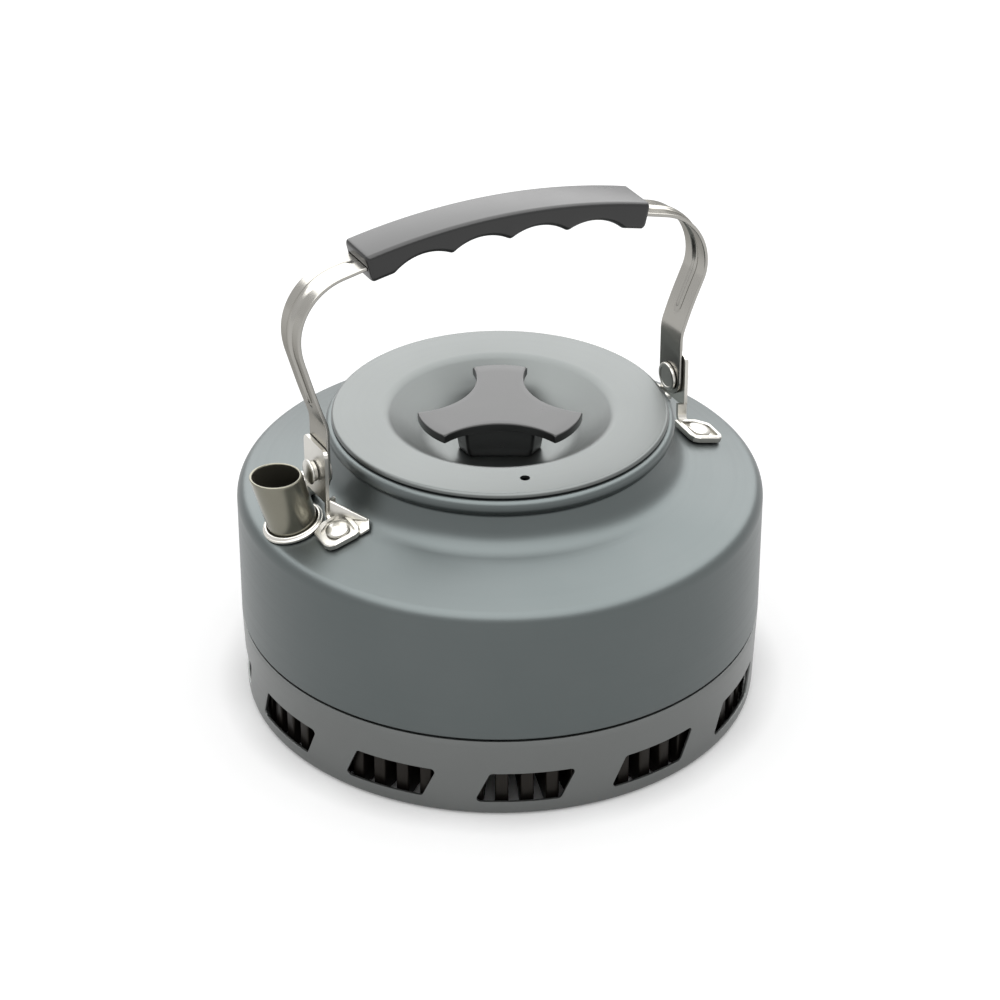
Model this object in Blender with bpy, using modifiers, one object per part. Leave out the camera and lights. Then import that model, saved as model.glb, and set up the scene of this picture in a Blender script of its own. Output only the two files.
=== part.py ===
# Camping kettle with a finned heat-exchanger base, a vented skirt and a folding bail.
# Metres, +Z up. The origin is on the kettle's axis, on the surface it stands on.
# +X runs along the bail's pivot line, away from the spout, which is at -X.

import bpy
import bmesh
import numpy as np
from math import atan2, cos, hypot, pi, radians, sin, sqrt, tan
from mathutils import Matrix, Vector

mm = 0.001

# Fits between pieces
touch_gap = 0.3 * mm            # pieces that rest on each other
under_gap = 0.45 * mm           # pieces under the sloping sheet of the top
lid_fit = 0.4 * mm              # lid plug inside the bead, a side
rivet_fit = 0.3 * mm            # a shank in its hole, a side
slot_fit = 0.35 * mm            # strap in the grip's slot, a side
screw_fit = 0.6 * mm            # past the end of the knob's screw
seam_lap = 0.1 * mm             # keeps two joined faces out of one plane
join_lap = 0.4 * mm             # how far the knob's hub runs into its cap

# Vessel, sizes to the outside of the sheet
body_radius = 86.0 * mm
body_sheet = 0.9 * mm
seam_height = 29.3 * mm         # top edge of the skirt
seam_step = 1.0 * mm            # height of the step in above the skirt's edge
spigot_depth = 8.3 * mm         # how far the vessel reaches down inside the skirt
base_corner = 4.0 * mm
shoulder_height = 74.6 * mm     # where the wall and the conical top would meet
shoulder_radius = 4.8 * mm
top_slope = radians(16.35)
neck_height = 11.6 * mm         # conical top to the middle of the bead
neck_fillet = 9.5 * mm
bead_roll = 2.05 * mm           # to the middle of the rolled sheet
bead_neck = 4.9 * mm            # bead's middle to the straight of the neck
body_segments = 36

# Vented skirt
skirt_sheet = 0.9 * mm
skirt_taper = 1.1 * mm          # how much narrower the foot is than the body
skirt_foot_corner = 1.6 * mm
skirt_lip = 4.6 * mm            # width of the inward lip it stands on
vent_count = 12
vent_width = 27.5 * mm
vent_height = 11.1 * mm
vent_bottom = 5.3 * mm
vent_shear = 5.0 * mm           # the top edge is shifted this far round
vent_corner = 0.9 * mm
vent_phase = radians(-113.0)

# Heat-exchanger fins, one pleated strip
fin_count = 60
fin_sheet = 0.4 * mm
fin_depth = 20.1 * mm           # radial length of a pleat
fin_bend = 0.62                 # share of the pitch that a pleat's closed end takes

# Knob
knob_rise = 1.5 * mm            # its top above the lid's rim
knob_tip_radius = 27.2 * mm
knob_tip_crown = 0.2 * mm       # how far a lobe's end bulges past its corners
knob_corner_angle = radians(19.5)
knob_edge = 2.9 * mm
knob_edge_round = 0.45 * mm
knob_rim = 1.8 * mm             # rim round the hollow underside
knob_hollow = 1.4 * mm
knob_overhang = 1.4 * mm        # cap past the hub, in the middle of a concave side
hub_flat = 9.9 * mm             # axis to a flat of the hub, at its foot
hub_half_width = 10.0 * mm
hub_corner = 1.8 * mm
hub_flare = 1.13
knob_turn = radians(61.5)
knob_screw_radius = 2.0 * mm
knob_screw_head_radius = 3.8 * mm
knob_screw_head = 2.2 * mm
knob_screw_reach = 7.0 * mm
knob_washer_radius = 6.0 * mm
knob_washer_sheet = 1.0 * mm

# Lid
lid_overhang = 0.6 * mm         # past the middle of the bead
lid_sheet = 1.0 * mm
lid_rim = 1.7 * mm              # depth of the turned-down rim
lid_edge = 0.9 * mm
dish_room = 10.0 * mm           # knob's tips to the edge of the dish
dish_slope_run = 10.2 * mm
dish_depth = 12.3 * mm
dish_floor_round = 6.0 * mm
dish_edge_round = 2.2 * mm
plug_sheet = 0.8 * mm
plug_depth = 10.0 * mm
plug_flange = 3.4 * mm
plug_round = 1.2 * mm
steam_hole_radius = 1.6 * mm
steam_hole_inset = 9.7 * mm     # from the lid's edge
steam_hole_azimuth = radians(-108.5)

# Spout, square to the conical top
spout_radius = 8.1 * mm
spout_wall = 0.9 * mm
spout_rise = 19.5 * mm          # mouth above the middle of its foot
spout_clearance = 1.6 * mm      # to the pivot's outer head
flare_width = 0.9 * mm
flare_sheet = 0.9 * mm
collar_width = 1.6 * mm
collar_height = 1.7 * mm

# Bail strap
strap_width = 12.5 * mm
strap_sheet = 1.2 * mm
strap_bend_rise = 17.4 * mm     # pivot to the outward bend
strap_flare = radians(19.0)
strap_bend_radius = 14.0 * mm
strap_shoulder_radius = 25.0 * mm
strap_depth_in_grip = 4.6 * mm  # grip's top to the middle of the strap
bail_lean = radians(2.6)        # how far the grip sits out of level, spout side up
lean_rise = 5.0 * mm            # from the bend to where the lean starts
lean_run = 24.0 * mm
rib_height = 0.7 * mm
rib_width = 3.6 * mm
rib_rise = 8.0 * mm             # from the bend to the rib's round end
rib_fade = 5.0 * mm
rib_margin = 1.5 * mm           # from the rib's upper end to the grip

# Grip
bail_rise = 77.6 * mm           # pivot to the top of the grip
grip_length = 102.0 * mm
grip_width = 16.0 * mm
grip_crest_depth = 9.4 * mm
grip_hollow_depth = 3.0 * mm
grip_arch_radius = 222.0 * mm
grip_finger_count = 4
grip_finger_pitch = 21.3 * mm
grip_round = 2.0 * mm

# Bail pivots
pivot_rise = 17.6 * mm          # above the spout's foot
pivot_shank_radius = 2.1 * mm
pivot_head_radius = 4.8 * mm
pivot_head_height = 1.0 * mm
pivot_chamfer = 0.35 * mm
pivot_outer_head_radius = 4.1 * mm
pivot_outer_head_height = 1.1 * mm
bush_radius = 3.4 * mm
bush_length = 1.4 * mm

# Brackets, modelled for the +X side
bracket_sheet = 1.2 * mm
ear_spacing = 10.7 * mm         # lid's edge to the inner face of the ear
ear_margin = 1.35 * mm          # ear past the edge of the strap, a side
ear_above_pivot = 10.0 * mm
ear_corner = 2.2 * mm
ear_foot_corner = 1.2 * mm
ear_foot = 1.0 * mm             # ear below the top of its legs
leg_clearance = 1.35 * mm       # swinging strap to the top of the legs
leg_width = 3.3 * mm
leg_bend = 3.0 * mm
leg_lap = 1.4 * mm              # leg's foot inside the wing
wing_spacing = 1.4 * mm         # ear's side to the near edge of the wing
wing_length = 12.6 * mm
wing_inward = 5.9 * mm          # rivet to the edge near the neck
wing_outward = 6.7 * mm
wing_rim = 1.0 * mm             # height of the pressed rim above the plate
wing_rim_width = 1.5 * mm
wing_corner = 2.6 * mm
wing_small_corner = 1.0 * mm
wing_notch_along = 4.2 * mm     # corner cut off towards the ear
wing_notch_across = 2.6 * mm
wing_edge_round = 0.35 * mm
foot_head_radius = 3.9 * mm
foot_head_height = 1.7 * mm
foot_head_edge = 0.3 * mm       # straight side under the dome
foot_shank_radius = 1.7 * mm
foot_tail_radius = 3.1 * mm
foot_tail_height = 1.0 * mm

# Places that follow, from the shoulder inwards and from the base up
base_height = seam_height - spigot_depth
skirt_foot_radius = body_radius - skirt_taper
shoulder_run = shoulder_radius * tan((pi / 2 - top_slope) / 2) * cos(top_slope)
spout_distance = body_radius - shoulder_run - (spout_radius + rivet_fit) * cos(top_slope)
spout_foot_height = shoulder_height + (body_radius - spout_distance) * tan(top_slope)
pivot_height = spout_foot_height + pivot_rise
pivot_outer_face = (spout_distance + pivot_rise * tan(top_slope)
                    - spout_radius / cos(top_slope) - spout_clearance)
pivot_outer_seat = pivot_outer_face - pivot_outer_head_height
bush_start = pivot_outer_seat - touch_gap - bush_length
ear_distance = bush_start - touch_gap - bracket_sheet
strap_distance = ear_distance - touch_gap - strap_sheet / 2
pivot_inner_seat = strap_distance - strap_sheet / 2 - touch_gap
lid_radius = ear_distance - ear_spacing
neck_radius = lid_radius - lid_overhang
dish_radius = knob_tip_radius + dish_room

ear_half_width = strap_width / 2 + ear_margin
leg_top = pivot_height - strap_width / 2 - leg_clearance
foot_rivet_distance = ear_distance + bracket_sheet / 2
foot_rivet_offset = ear_half_width + wing_spacing + wing_length / 2

part_name = "camping_kettle"


# Scene

def clear_scene():
    for ob in list(bpy.data.objects):
        bpy.data.objects.remove(ob, do_unlink=True)
    for collection in list(bpy.data.collections):
        bpy.data.collections.remove(collection)


def new_collection(name):
    collection = bpy.data.collections.new(name)
    bpy.context.scene.collection.children.link(collection)
    return collection


clear_scene()
parts = new_collection(part_name)
cutters = new_collection("cutters")


def material(name, colour, roughness, metallic):
    found = bpy.data.materials.get(name)
    if found:
        return found
    mat = bpy.data.materials.new(name)
    mat.use_nodes = True
    shader = mat.node_tree.nodes["Principled BSDF"]
    shader.inputs["Base Color"].default_value = (*colour, 1.0)
    shader.inputs["Roughness"].default_value = roughness
    shader.inputs["Metallic"].default_value = metallic
    mat.diffuse_color = (*colour, 1.0)
    return mat


anodised = material("hard_anodised_aluminium", (0.21, 0.23, 0.24), 0.42, 0.6)
anodised_lid = material("anodised_lid", (0.42, 0.43, 0.43), 0.38, 0.6)
steel = material("stainless_steel", (0.62, 0.61, 0.58), 0.22, 1.0)
fin_metal = material("fin_aluminium", (0.5, 0.5, 0.5), 0.4, 0.9)
black_plastic = material("black_plastic", (0.02, 0.02, 0.022), 0.35, 0.0)


# Outlines and paths

def arc(centre_x, centre_y, radius, start, end, steps):
    angles = np.linspace(start, end, steps + 1)
    return [(centre_x + radius * cos(a), centre_y + radius * sin(a)) for a in angles]


def rounded_path(corners, closed=False, step=radians(22.0)):
    """Points of a polyline whose corners (x, y, radius) become tangent arcs that fit its sides."""
    points = []
    count = len(corners)
    for i, (x, y, radius) in enumerate(corners):
        inside = closed or 0 < i < count - 1
        if not inside or radius <= 0.0:
            points.append((x, y))
            continue
        corner = Vector((x, y))
        before = Vector(corners[i - 1][:2]) - corner
        after = Vector(corners[(i + 1) % count][:2]) - corner
        turn = pi - before.angle(after)
        room_before = before.length * (0.49 if corners[i - 1][2] > 0.0 else 0.98)
        room_after = after.length * (0.49 if corners[(i + 1) % count][2] > 0.0 else 0.98)
        reach = min(radius * tan(turn / 2), room_before, room_after)
        radius = reach / tan(turn / 2)
        before.normalize()
        after.normalize()
        start = corner + before * reach
        end = corner + after * reach
        middle = corner + (before + after).normalized() * hypot(reach, radius)
        first = atan2(start.y - middle.y, start.x - middle.x)
        sweep = atan2(end.y - middle.y, end.x - middle.x) - first
        sweep = (sweep + pi) % (2 * pi) - pi
        steps = max(1, round(abs(sweep) / step))
        points += arc(middle.x, middle.y, radius, first, first + sweep, steps)
    return points


def cone_height(radius):
    """Height of the outside of the conical top at a distance from the axis."""
    return shoulder_height + (body_radius - radius) * tan(top_slope)


def cone_frame(along, across):
    """Frame on the conical top: Z square to it, X downhill in the plane of +X."""
    radius = hypot(along, across)
    bearing = atan2(across, along)
    up = Vector((sin(top_slope) * cos(bearing), sin(top_slope) * sin(bearing), cos(top_slope)))
    downhill = (Vector((1, 0, 0)) - up * up.x).normalized()
    side = up.cross(downhill)
    frame = Matrix((downhill, side, up)).transposed().to_4x4()
    frame.translation = Vector((along, across, cone_height(radius)))
    return frame


# Objects

def mesh_object(name, vertices, edges, faces, mat, collection=parts):
    mesh = bpy.data.meshes.new(name)
    mesh.from_pydata(vertices, edges, faces)
    mesh.update()
    ob = bpy.data.objects.new(name, mesh)
    collection.objects.link(ob)
    if mat:
        mesh.materials.append(mat)
    return ob


def as_cutter(ob):
    ob.hide_render = True
    ob.display_type = "WIRE"
    return ob


def smooth(ob, angle=radians(35.0)):
    ob.data.shade_smooth()
    ob.data.set_sharp_from_angle(angle=angle)


def evaluated_mesh(ob):
    bpy.context.view_layer.update()
    graph = bpy.context.evaluated_depsgraph_get()
    mesh = bpy.data.meshes.new_from_object(ob.evaluated_get(graph))
    mesh.name = ob.name
    return mesh


def bake(ob):
    """Replace an object's mesh with its evaluated one."""
    mesh = evaluated_mesh(ob)
    ob.modifiers.clear()
    ob.data = mesh
    return ob


def turned(name, profile, mat, segments, sheet=0.0, collection=parts):
    """A profile of (radius, height) points turned about Z, top of its outside first."""
    vertices = [(x, 0.0, z) for x, z in profile]
    edges = [(i, i + 1) for i in range(len(profile) - 1)]
    if not sheet and (profile[0][0] > 0.0 or profile[-1][0] > 0.0):
        edges.append((len(profile) - 1, 0))
    ob = mesh_object(name, vertices, edges, [], mat, collection)
    screw = ob.modifiers.new("turn", "SCREW")
    screw.steps = segments
    screw.render_steps = segments
    screw.use_merge_vertices = True
    screw.merge_threshold = 0.00001
    screw.use_smooth_shade = True
    if sheet:
        shell = ob.modifiers.new("sheet", "SOLIDIFY")
        shell.thickness = sheet
        shell.offset = 0.0
        shell.use_even_offset = True
    return ob


def plate(name, outline, thickness, mat, collection=parts):
    """A flat outline in the XY plane, thickened evenly to both sides of it."""
    curve = bpy.data.curves.new(name, "CURVE")
    curve.dimensions = "2D"
    curve.fill_mode = "BOTH"
    curve.extrude = thickness / 2
    spline = curve.splines.new("POLY")
    spline.points.add(len(outline) - 1)
    for point, (x, y) in zip(spline.points, outline):
        point.co = (x, y, 0.0, 1.0)
    spline.use_cyclic_u = True
    flat = bpy.data.objects.new(name + "_outline", curve)
    collection.objects.link(flat)
    mesh = evaluated_mesh(flat)
    bpy.data.objects.remove(flat, do_unlink=True)
    bm = bmesh.new()
    bm.from_mesh(mesh)
    bmesh.ops.remove_doubles(bm, verts=bm.verts, dist=0.000005)
    bmesh.ops.recalc_face_normals(bm, faces=bm.faces)
    inner_edges = [edge for edge in bm.edges if edge.calc_face_angle(pi) < radians(0.5)]
    bmesh.ops.dissolve_edges(bm, edges=inner_edges, use_verts=False)
    bm.to_mesh(mesh)
    bm.free()
    mesh.name = name
    mesh.materials.clear()
    if mat:
        mesh.materials.append(mat)
    ob = bpy.data.objects.new(name, mesh)
    collection.objects.link(ob)
    return ob


def loft(name, rings, mat, collection=parts):
    """A closed solid through rings of equal point count, the first and last capped."""
    count = len(rings[0])
    vertices = [point for ring in rings for point in ring]
    faces = [list(range(count))[::-1]]
    for r in range(len(rings) - 1):
        for i in range(count):
            j = (i + 1) % count
            faces.append([r * count + i, r * count + j, (r + 1) * count + j, (r + 1) * count + i])
    faces.append([(len(rings) - 1) * count + i for i in range(count)])
    ob = mesh_object(name, vertices, [], faces, mat, collection)
    bm = bmesh.new()
    bm.from_mesh(ob.data)
    bmesh.ops.recalc_face_normals(bm, faces=bm.faces)
    bm.to_mesh(ob.data)
    bm.free()
    return ob


def rod(name, radius, low, high, segments=24, collection=cutters):
    """A cylinder about Z between two heights."""
    mesh = bpy.data.meshes.new(name)
    bm = bmesh.new()
    bmesh.ops.create_cone(bm, cap_ends=True, segments=segments, radius1=radius, radius2=radius,
                          depth=high - low, matrix=Matrix.Translation((0, 0, (high + low) / 2)))
    bm.to_mesh(mesh)
    bm.free()
    ob = bpy.data.objects.new(name, mesh)
    collection.objects.link(ob)
    return ob


def block(name, low, high, collection=cutters):
    """A box between two corners."""
    low, high = Vector(low), Vector(high)
    mesh = bpy.data.meshes.new(name)
    bm = bmesh.new()
    size = high - low
    bmesh.ops.create_cube(bm, size=1.0, matrix=Matrix.Translation((low + high) / 2)
                          @ Matrix.Diagonal((*size, 1.0)))
    bm.to_mesh(mesh)
    bm.free()
    ob = bpy.data.objects.new(name, mesh)
    collection.objects.link(ob)
    return ob


def boolean(ob, other, operation="DIFFERENCE", solver="EXACT"):
    modifier = ob.modifiers.new(other.name, "BOOLEAN")
    modifier.operation = operation
    modifier.solver = solver
    modifier.object = other
    as_cutter(other)
    return ob


def rounded_edges(ob, width, segments, angle=radians(40.0)):
    bevel = ob.modifiers.new("rounded", "BEVEL")
    bevel.width = width
    bevel.segments = segments
    bevel.limit_method = "ANGLE"
    bevel.angle_limit = angle
    bevel.use_clamp_overlap = True
    return ob


def empty(name, location):
    ob = bpy.data.objects.new(name, None)
    ob.location = location
    parts.objects.link(ob)
    return ob


def carry(ob, parent):
    """Hang a piece on its joint's empty and keep its place."""
    ob.parent = parent
    ob.matrix_parent_inverse = Matrix.Translation(-parent.location)
    return ob


# Vessel

bead_height = cone_height(neck_radius) + neck_height
spigot_radius = (skirt_foot_radius - skirt_sheet - touch_gap
                 + (body_radius - skirt_foot_radius) * (base_height + base_corner) / seam_height)


def vessel_profile():
    """Middle of the sheet, from the rolled bead down the outside to the base's centre."""
    half = body_sheet / 2
    bead = arc(neck_radius, bead_height, bead_roll, radians(-60.0), radians(205.0), 6)
    corners = [
        (*bead[-1], 0.0),
        (neck_radius - half, bead_height - bead_neck, 0.0),
        (neck_radius - half, cone_height(neck_radius) - half / cos(top_slope), neck_fillet),
        (body_radius - half, shoulder_height - half / cos(top_slope), shoulder_radius - half),
        (body_radius - half, seam_height + seam_step, 0.0),
        (spigot_radius - half, seam_height, 0.0),
        (spigot_radius - half, base_height + half, base_corner - half),
        (0.0, base_height + half, 0.0),
    ]
    return bead[:-1] + rounded_path(corners, step=radians(30.0))


def make_vessel():
    body = turned("body_shell", vessel_profile(), anodised, body_segments, body_sheet)
    spout_hole = rod("spout_hole", spout_radius + rivet_fit, -7 * body_sheet, 7 * body_sheet, 28)
    spout_hole.matrix_world = spout_frame
    boolean(body, spout_hole)
    for i, frame in enumerate(foot_rivet_frames):
        hole = rod(f"body_rivet_hole_{i}", foot_shank_radius + rivet_fit,
                   -4 * body_sheet, 4 * body_sheet, 10)
        hole.matrix_world = frame
        boolean(body, hole)
    return body


# Skirt with its sheared vents

def make_skirt():
    half = skirt_sheet / 2
    corners = [
        (body_radius - half, seam_height - touch_gap, 0.0),
        (skirt_foot_radius - half, half, skirt_foot_corner),
        (skirt_foot_radius - skirt_lip, half, 0.0),
    ]
    skirt = turned("vented_skirt", rounded_path(corners, step=radians(45.0)), anodised,
                   4 * vent_count, skirt_sheet)
    half_width = vent_width / 2
    half_shear = vent_shear / 2
    outline = rounded_path([
        (-half_width - half_shear, vent_bottom, vent_corner),
        (half_width - half_shear, vent_bottom, vent_corner),
        (half_width + half_shear, vent_bottom + vent_height, vent_corner),
        (-half_width + half_shear, vent_bottom + vent_height, vent_corner),
    ], closed=True, step=radians(50.0))
    depth = vent_width / 2
    for i in range(vent_count):
        vent = plate(f"vent_{i:02d}", outline, depth, None, cutters)
        bearing = vent_phase + 2 * pi * i / vent_count
        vent.matrix_world = (Matrix.Rotation(bearing + pi / 2, 4, "Z")
                             @ Matrix.Translation((0, -skirt_foot_radius, 0))
                             @ Matrix.Rotation(pi / 2, 4, "X"))
        boolean(skirt, vent)
    return skirt


# Pleated fins between the base and the skirt's lip

def make_fins():
    low = skirt_sheet + touch_gap
    high = base_height - touch_gap
    outer = (skirt_foot_radius - skirt_sheet / 2 - skirt_foot_corner
             - touch_gap - fin_sheet / 2)
    inner = outer - fin_depth
    pitch = 2 * pi / fin_count
    closed_end = fin_bend * pitch / 4
    plan = []
    for i in range(fin_count):
        middle = i * pitch
        plan += [(outer, middle - closed_end), (outer, middle + closed_end)]
        plan += [(inner, middle + pitch / 2 - closed_end), (inner, middle + pitch / 2 + closed_end)]
    ring = [(r * cos(a), r * sin(a)) for r, a in plan]
    count = len(ring)
    vertices = [(x, y, low) for x, y in ring] + [(x, y, high) for x, y in ring]
    faces = [(i, (i + 1) % count, (i + 1) % count + count, i + count) for i in range(count)]
    fins = mesh_object("heat_exchanger_fins", vertices, [], faces, fin_metal)
    shell = fins.modifiers.new("sheet", "SOLIDIFY")
    shell.thickness = fin_sheet
    shell.offset = 0.0
    shell.use_even_offset = True
    return fins


# Lid with its plug ring

lid_seat = bead_height + bead_roll + body_sheet / 2 + touch_gap
lid_top_height = lid_seat + lid_rim
lid_underside = lid_top_height - lid_sheet
dish_floor_height = lid_top_height - dish_depth


def make_lid(lid_axis):
    half = lid_sheet / 2
    corners = [
        (knob_screw_radius + rivet_fit, dish_floor_height - half, 0.0),
        (dish_radius - dish_slope_run, dish_floor_height - half, dish_floor_round),
        (dish_radius, lid_top_height - half, dish_edge_round),
        (lid_radius - half, lid_top_height - half, lid_edge),
        (lid_radius - half, lid_seat, 0.0),
    ]
    lid = turned("lid_pan", rounded_path(corners, step=radians(32.0)), anodised_lid,
                 body_segments, lid_sheet)
    hole = rod("steam_hole", steam_hole_radius, lid_underside - 3 * lid_sheet,
               lid_top_height + 3 * lid_sheet, 14)
    distance = lid_radius - steam_hole_inset
    hole.location = (distance * cos(steam_hole_azimuth), distance * sin(steam_hole_azimuth), 0.0)
    boolean(lid, hole)
    return carry(lid, lid_axis)


def make_plug(lid_axis):
    half = plug_sheet / 2
    outer = neck_radius - bead_roll - body_sheet / 2 - lid_fit - half
    top = lid_underside - touch_gap - half
    corners = [
        (outer - plug_flange, top, 0.0),
        (outer, top, plug_round),
        (outer, top - plug_depth, 0.0),
    ]
    plug = turned("lid_plug_ring", rounded_path(corners, step=radians(45.0)), anodised_lid,
                  body_segments - 8, plug_sheet)
    return carry(plug, lid_axis)


# Three-lobed knob, its hub and its screw

def circles_meet(first, first_radius, second, second_radius):
    """The crossing of two circles that lies to the right of the way between them."""
    way = Vector(second) - Vector(first)
    along = (first_radius ** 2 - second_radius ** 2 + way.length_squared) / (2 * way.length)
    aside = sqrt(first_radius ** 2 - along ** 2)
    way.normalize()
    return Vector(first) + way * along + Vector((way.y, -way.x)) * aside


def lobed_outline(inset=0.0):
    """Convex lobe ends joined by concave sides, three of each."""
    corner_radius = knob_tip_radius - knob_tip_crown
    corner_x = corner_radius * sin(pi / 3 - knob_corner_angle)
    corner_y = corner_radius * cos(pi / 3 - knob_corner_angle)
    knob_waist = hub_flat * hub_flare + knob_overhang
    rise = corner_y - knob_waist
    side_radius = (corner_x ** 2 + rise ** 2) / (2 * rise)
    side_centre = Vector((cos(pi / 3), sin(pi / 3))) * (knob_waist + side_radius)
    half_end = corner_radius * sin(knob_corner_angle)
    end_rise = knob_tip_radius - corner_radius * cos(knob_corner_angle)
    end_radius = (half_end ** 2 + end_rise ** 2) / (2 * end_rise)
    end_centre = Vector((knob_tip_radius - end_radius, 0.0))
    side_radius += inset
    end_radius -= inset
    corner = circles_meet(end_centre, end_radius, side_centre, side_radius)
    end_half = atan2(corner.y, corner.x - end_centre.x)
    start = atan2(corner.y - side_centre.y, corner.x - side_centre.x)
    inward = -2 * pi / 3
    points = []
    for k in range(3):
        lobe = 2 * pi * k / 3
        end = arc(*end_centre, end_radius, -end_half, end_half, 4)
        side = arc(*side_centre, side_radius, start, 2 * inward - start, 8)
        for x, y in end + side[1:-1]:
            points.append((x * cos(lobe) - y * sin(lobe), x * sin(lobe) + y * cos(lobe)))
    return points


def hub_outline(scale):
    """Three wide flats facing the concave sides, joined by three narrow ones."""
    corners = []
    for k in range(3):
        flat = pi / 3 + 2 * pi * k / 3
        for side in (-1, 1):
            x, y = hub_flat * scale, side * hub_half_width * scale
            corners.append((x * cos(flat) - y * sin(flat), x * sin(flat) + y * cos(flat), hub_corner))
    return rounded_path(corners, closed=True, step=radians(30.0))


def make_knob(lid_axis):
    knob_top_height = lid_top_height + knob_rise
    cap = plate("knob", lobed_outline(), knob_edge, black_plastic)
    cap.data.transform(Matrix.Translation((0, 0, knob_top_height - knob_edge / 2)))
    rounded_edges(cap, knob_edge_round, 1)
    under = plate("knob_hollow", lobed_outline(knob_rim), 2 * knob_hollow, None, cutters)
    under.data.transform(Matrix.Translation((0, 0, knob_top_height - knob_edge)))
    boolean(cap, under)
    foot = dish_floor_height + touch_gap
    join = knob_top_height - knob_edge + knob_hollow + join_lap
    hub = loft("knob_hub", [[(x, y, foot) for x, y in hub_outline(1.0)],
                            [(x, y, join) for x, y in hub_outline(hub_flare)]], None, cutters)
    boolean(cap, hub, "UNION", "MANIFOLD")
    bore = rod("knob_bore", knob_screw_radius + rivet_fit, foot - lid_sheet,
               foot + knob_screw_reach + screw_fit, 14)
    boolean(cap, bore)
    bake(cap)
    cap.data.transform(Matrix.Rotation(knob_turn, 4, "Z"))
    smooth(cap, radians(30.0))
    return carry(cap, lid_axis)


def make_knob_fixings(lid_axis):
    under = dish_floor_height - lid_sheet - touch_gap
    washer = turned("knob_washer", [
        (knob_screw_radius + rivet_fit, under), (knob_washer_radius, under),
        (knob_washer_radius, under - knob_washer_sheet),
        (knob_screw_radius + rivet_fit, under - knob_washer_sheet)], steel, 16)
    seat = under - knob_washer_sheet - touch_gap
    tip = dish_floor_height + knob_screw_reach
    screw = turned("knob_screw", [
        (0.0, tip), (knob_screw_radius, tip),
        (knob_screw_radius, seat), (knob_screw_head_radius, seat),
        (knob_screw_head_radius, seat - 0.6 * knob_screw_head),
        (0.55 * knob_screw_head_radius, seat - knob_screw_head), (0.0, seat - knob_screw_head)],
        steel, 14)
    carry(washer, lid_axis)
    carry(screw, lid_axis)


# Spout tube and the collar round its foot

spout_frame = Matrix.Rotation(pi, 4, "Z") @ cone_frame(spout_distance, 0.0)


def make_spout():
    inside = spout_radius - spout_wall
    top = spout_rise / cos(top_slope) + spout_radius
    flare_radius = spout_radius + flare_width
    flare_top = -body_sheet - under_gap
    flare_low = flare_top - flare_sheet
    tube = turned("spout_tube", [
        (inside, top), (spout_radius, top), (spout_radius, flare_top),
        (flare_radius, flare_top), (flare_radius, flare_low), (inside, flare_low)], steel, 28)
    tube.matrix_world = spout_frame
    mouth = spout_foot_height + spout_rise
    trim = block("spout_trim", (-2 * body_radius, -3 * spout_radius, mouth),
                 (0.0, 3 * spout_radius, mouth + 3 * spout_radius))
    boolean(tube, trim)
    low = touch_gap
    ring_inner = spout_radius + touch_gap
    bulge = collar_width / 2
    ring = [(ring_inner, low), (ring_inner, low + collar_height - bulge)]
    ring += arc(ring_inner + bulge, low + collar_height - bulge, bulge, pi, 0.0, 4)[1:]
    ring.append((ring_inner + collar_width, low))
    collar = turned("spout_collar", ring, steel, 24)
    collar.matrix_world = spout_frame


# Brackets and foot rivets

foot_rivet_frames = []
for turn in (0.0, pi):
    for side in (-1, 1):
        foot_rivet_frames.append(Matrix.Rotation(turn, 4, "Z")
                                 @ cone_frame(foot_rivet_distance, side * foot_rivet_offset))

wing_top = touch_gap + bracket_sheet + wing_rim


def wing_outline(inset):
    """Wing round its rivet, X away from the kettle's axis and Y away from the ear."""
    low_x = inset - wing_inward
    high_x = wing_outward - inset
    low_y = inset - wing_length / 2
    high_y = wing_length / 2 - inset
    corner = max(wing_corner - inset, wing_small_corner)
    return rounded_path([
        (low_x, low_y, 0.0), (high_x - wing_notch_along, low_y, wing_small_corner),
        (high_x, low_y + wing_notch_across, wing_small_corner), (high_x, high_y, corner),
        (low_x, high_y, corner)], closed=True, step=radians(45.0))


def make_wing(side):
    """One foot plate: a tray with a raised rim, flat on the conical top."""
    frame = cone_frame(foot_rivet_distance, side * foot_rivet_offset)
    outline = [(x, side * y) for x, y in wing_outline(0.0)]
    floor = [(x, side * y) for x, y in wing_outline(wing_rim_width)]
    thickness = bracket_sheet + wing_rim
    wing = plate(f"wing_{side}", outline, thickness, steel, cutters)
    wing.data.transform(frame @ Matrix.Translation((0, 0, touch_gap + thickness / 2)))
    rounded_edges(wing, wing_edge_round, 1)
    recess = plate(f"wing_recess_{side}", floor, 2 * wing_rim, None, cutters)
    recess.data.transform(frame @ Matrix.Translation((0, 0, wing_top)))
    hole = rod(f"wing_hole_{side}", foot_shank_radius + rivet_fit, -bracket_sheet,
               2 * thickness, 10)
    hole.data.transform(frame)
    boolean(wing, recess)
    boolean(wing, hole)
    return bake(wing)


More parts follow.
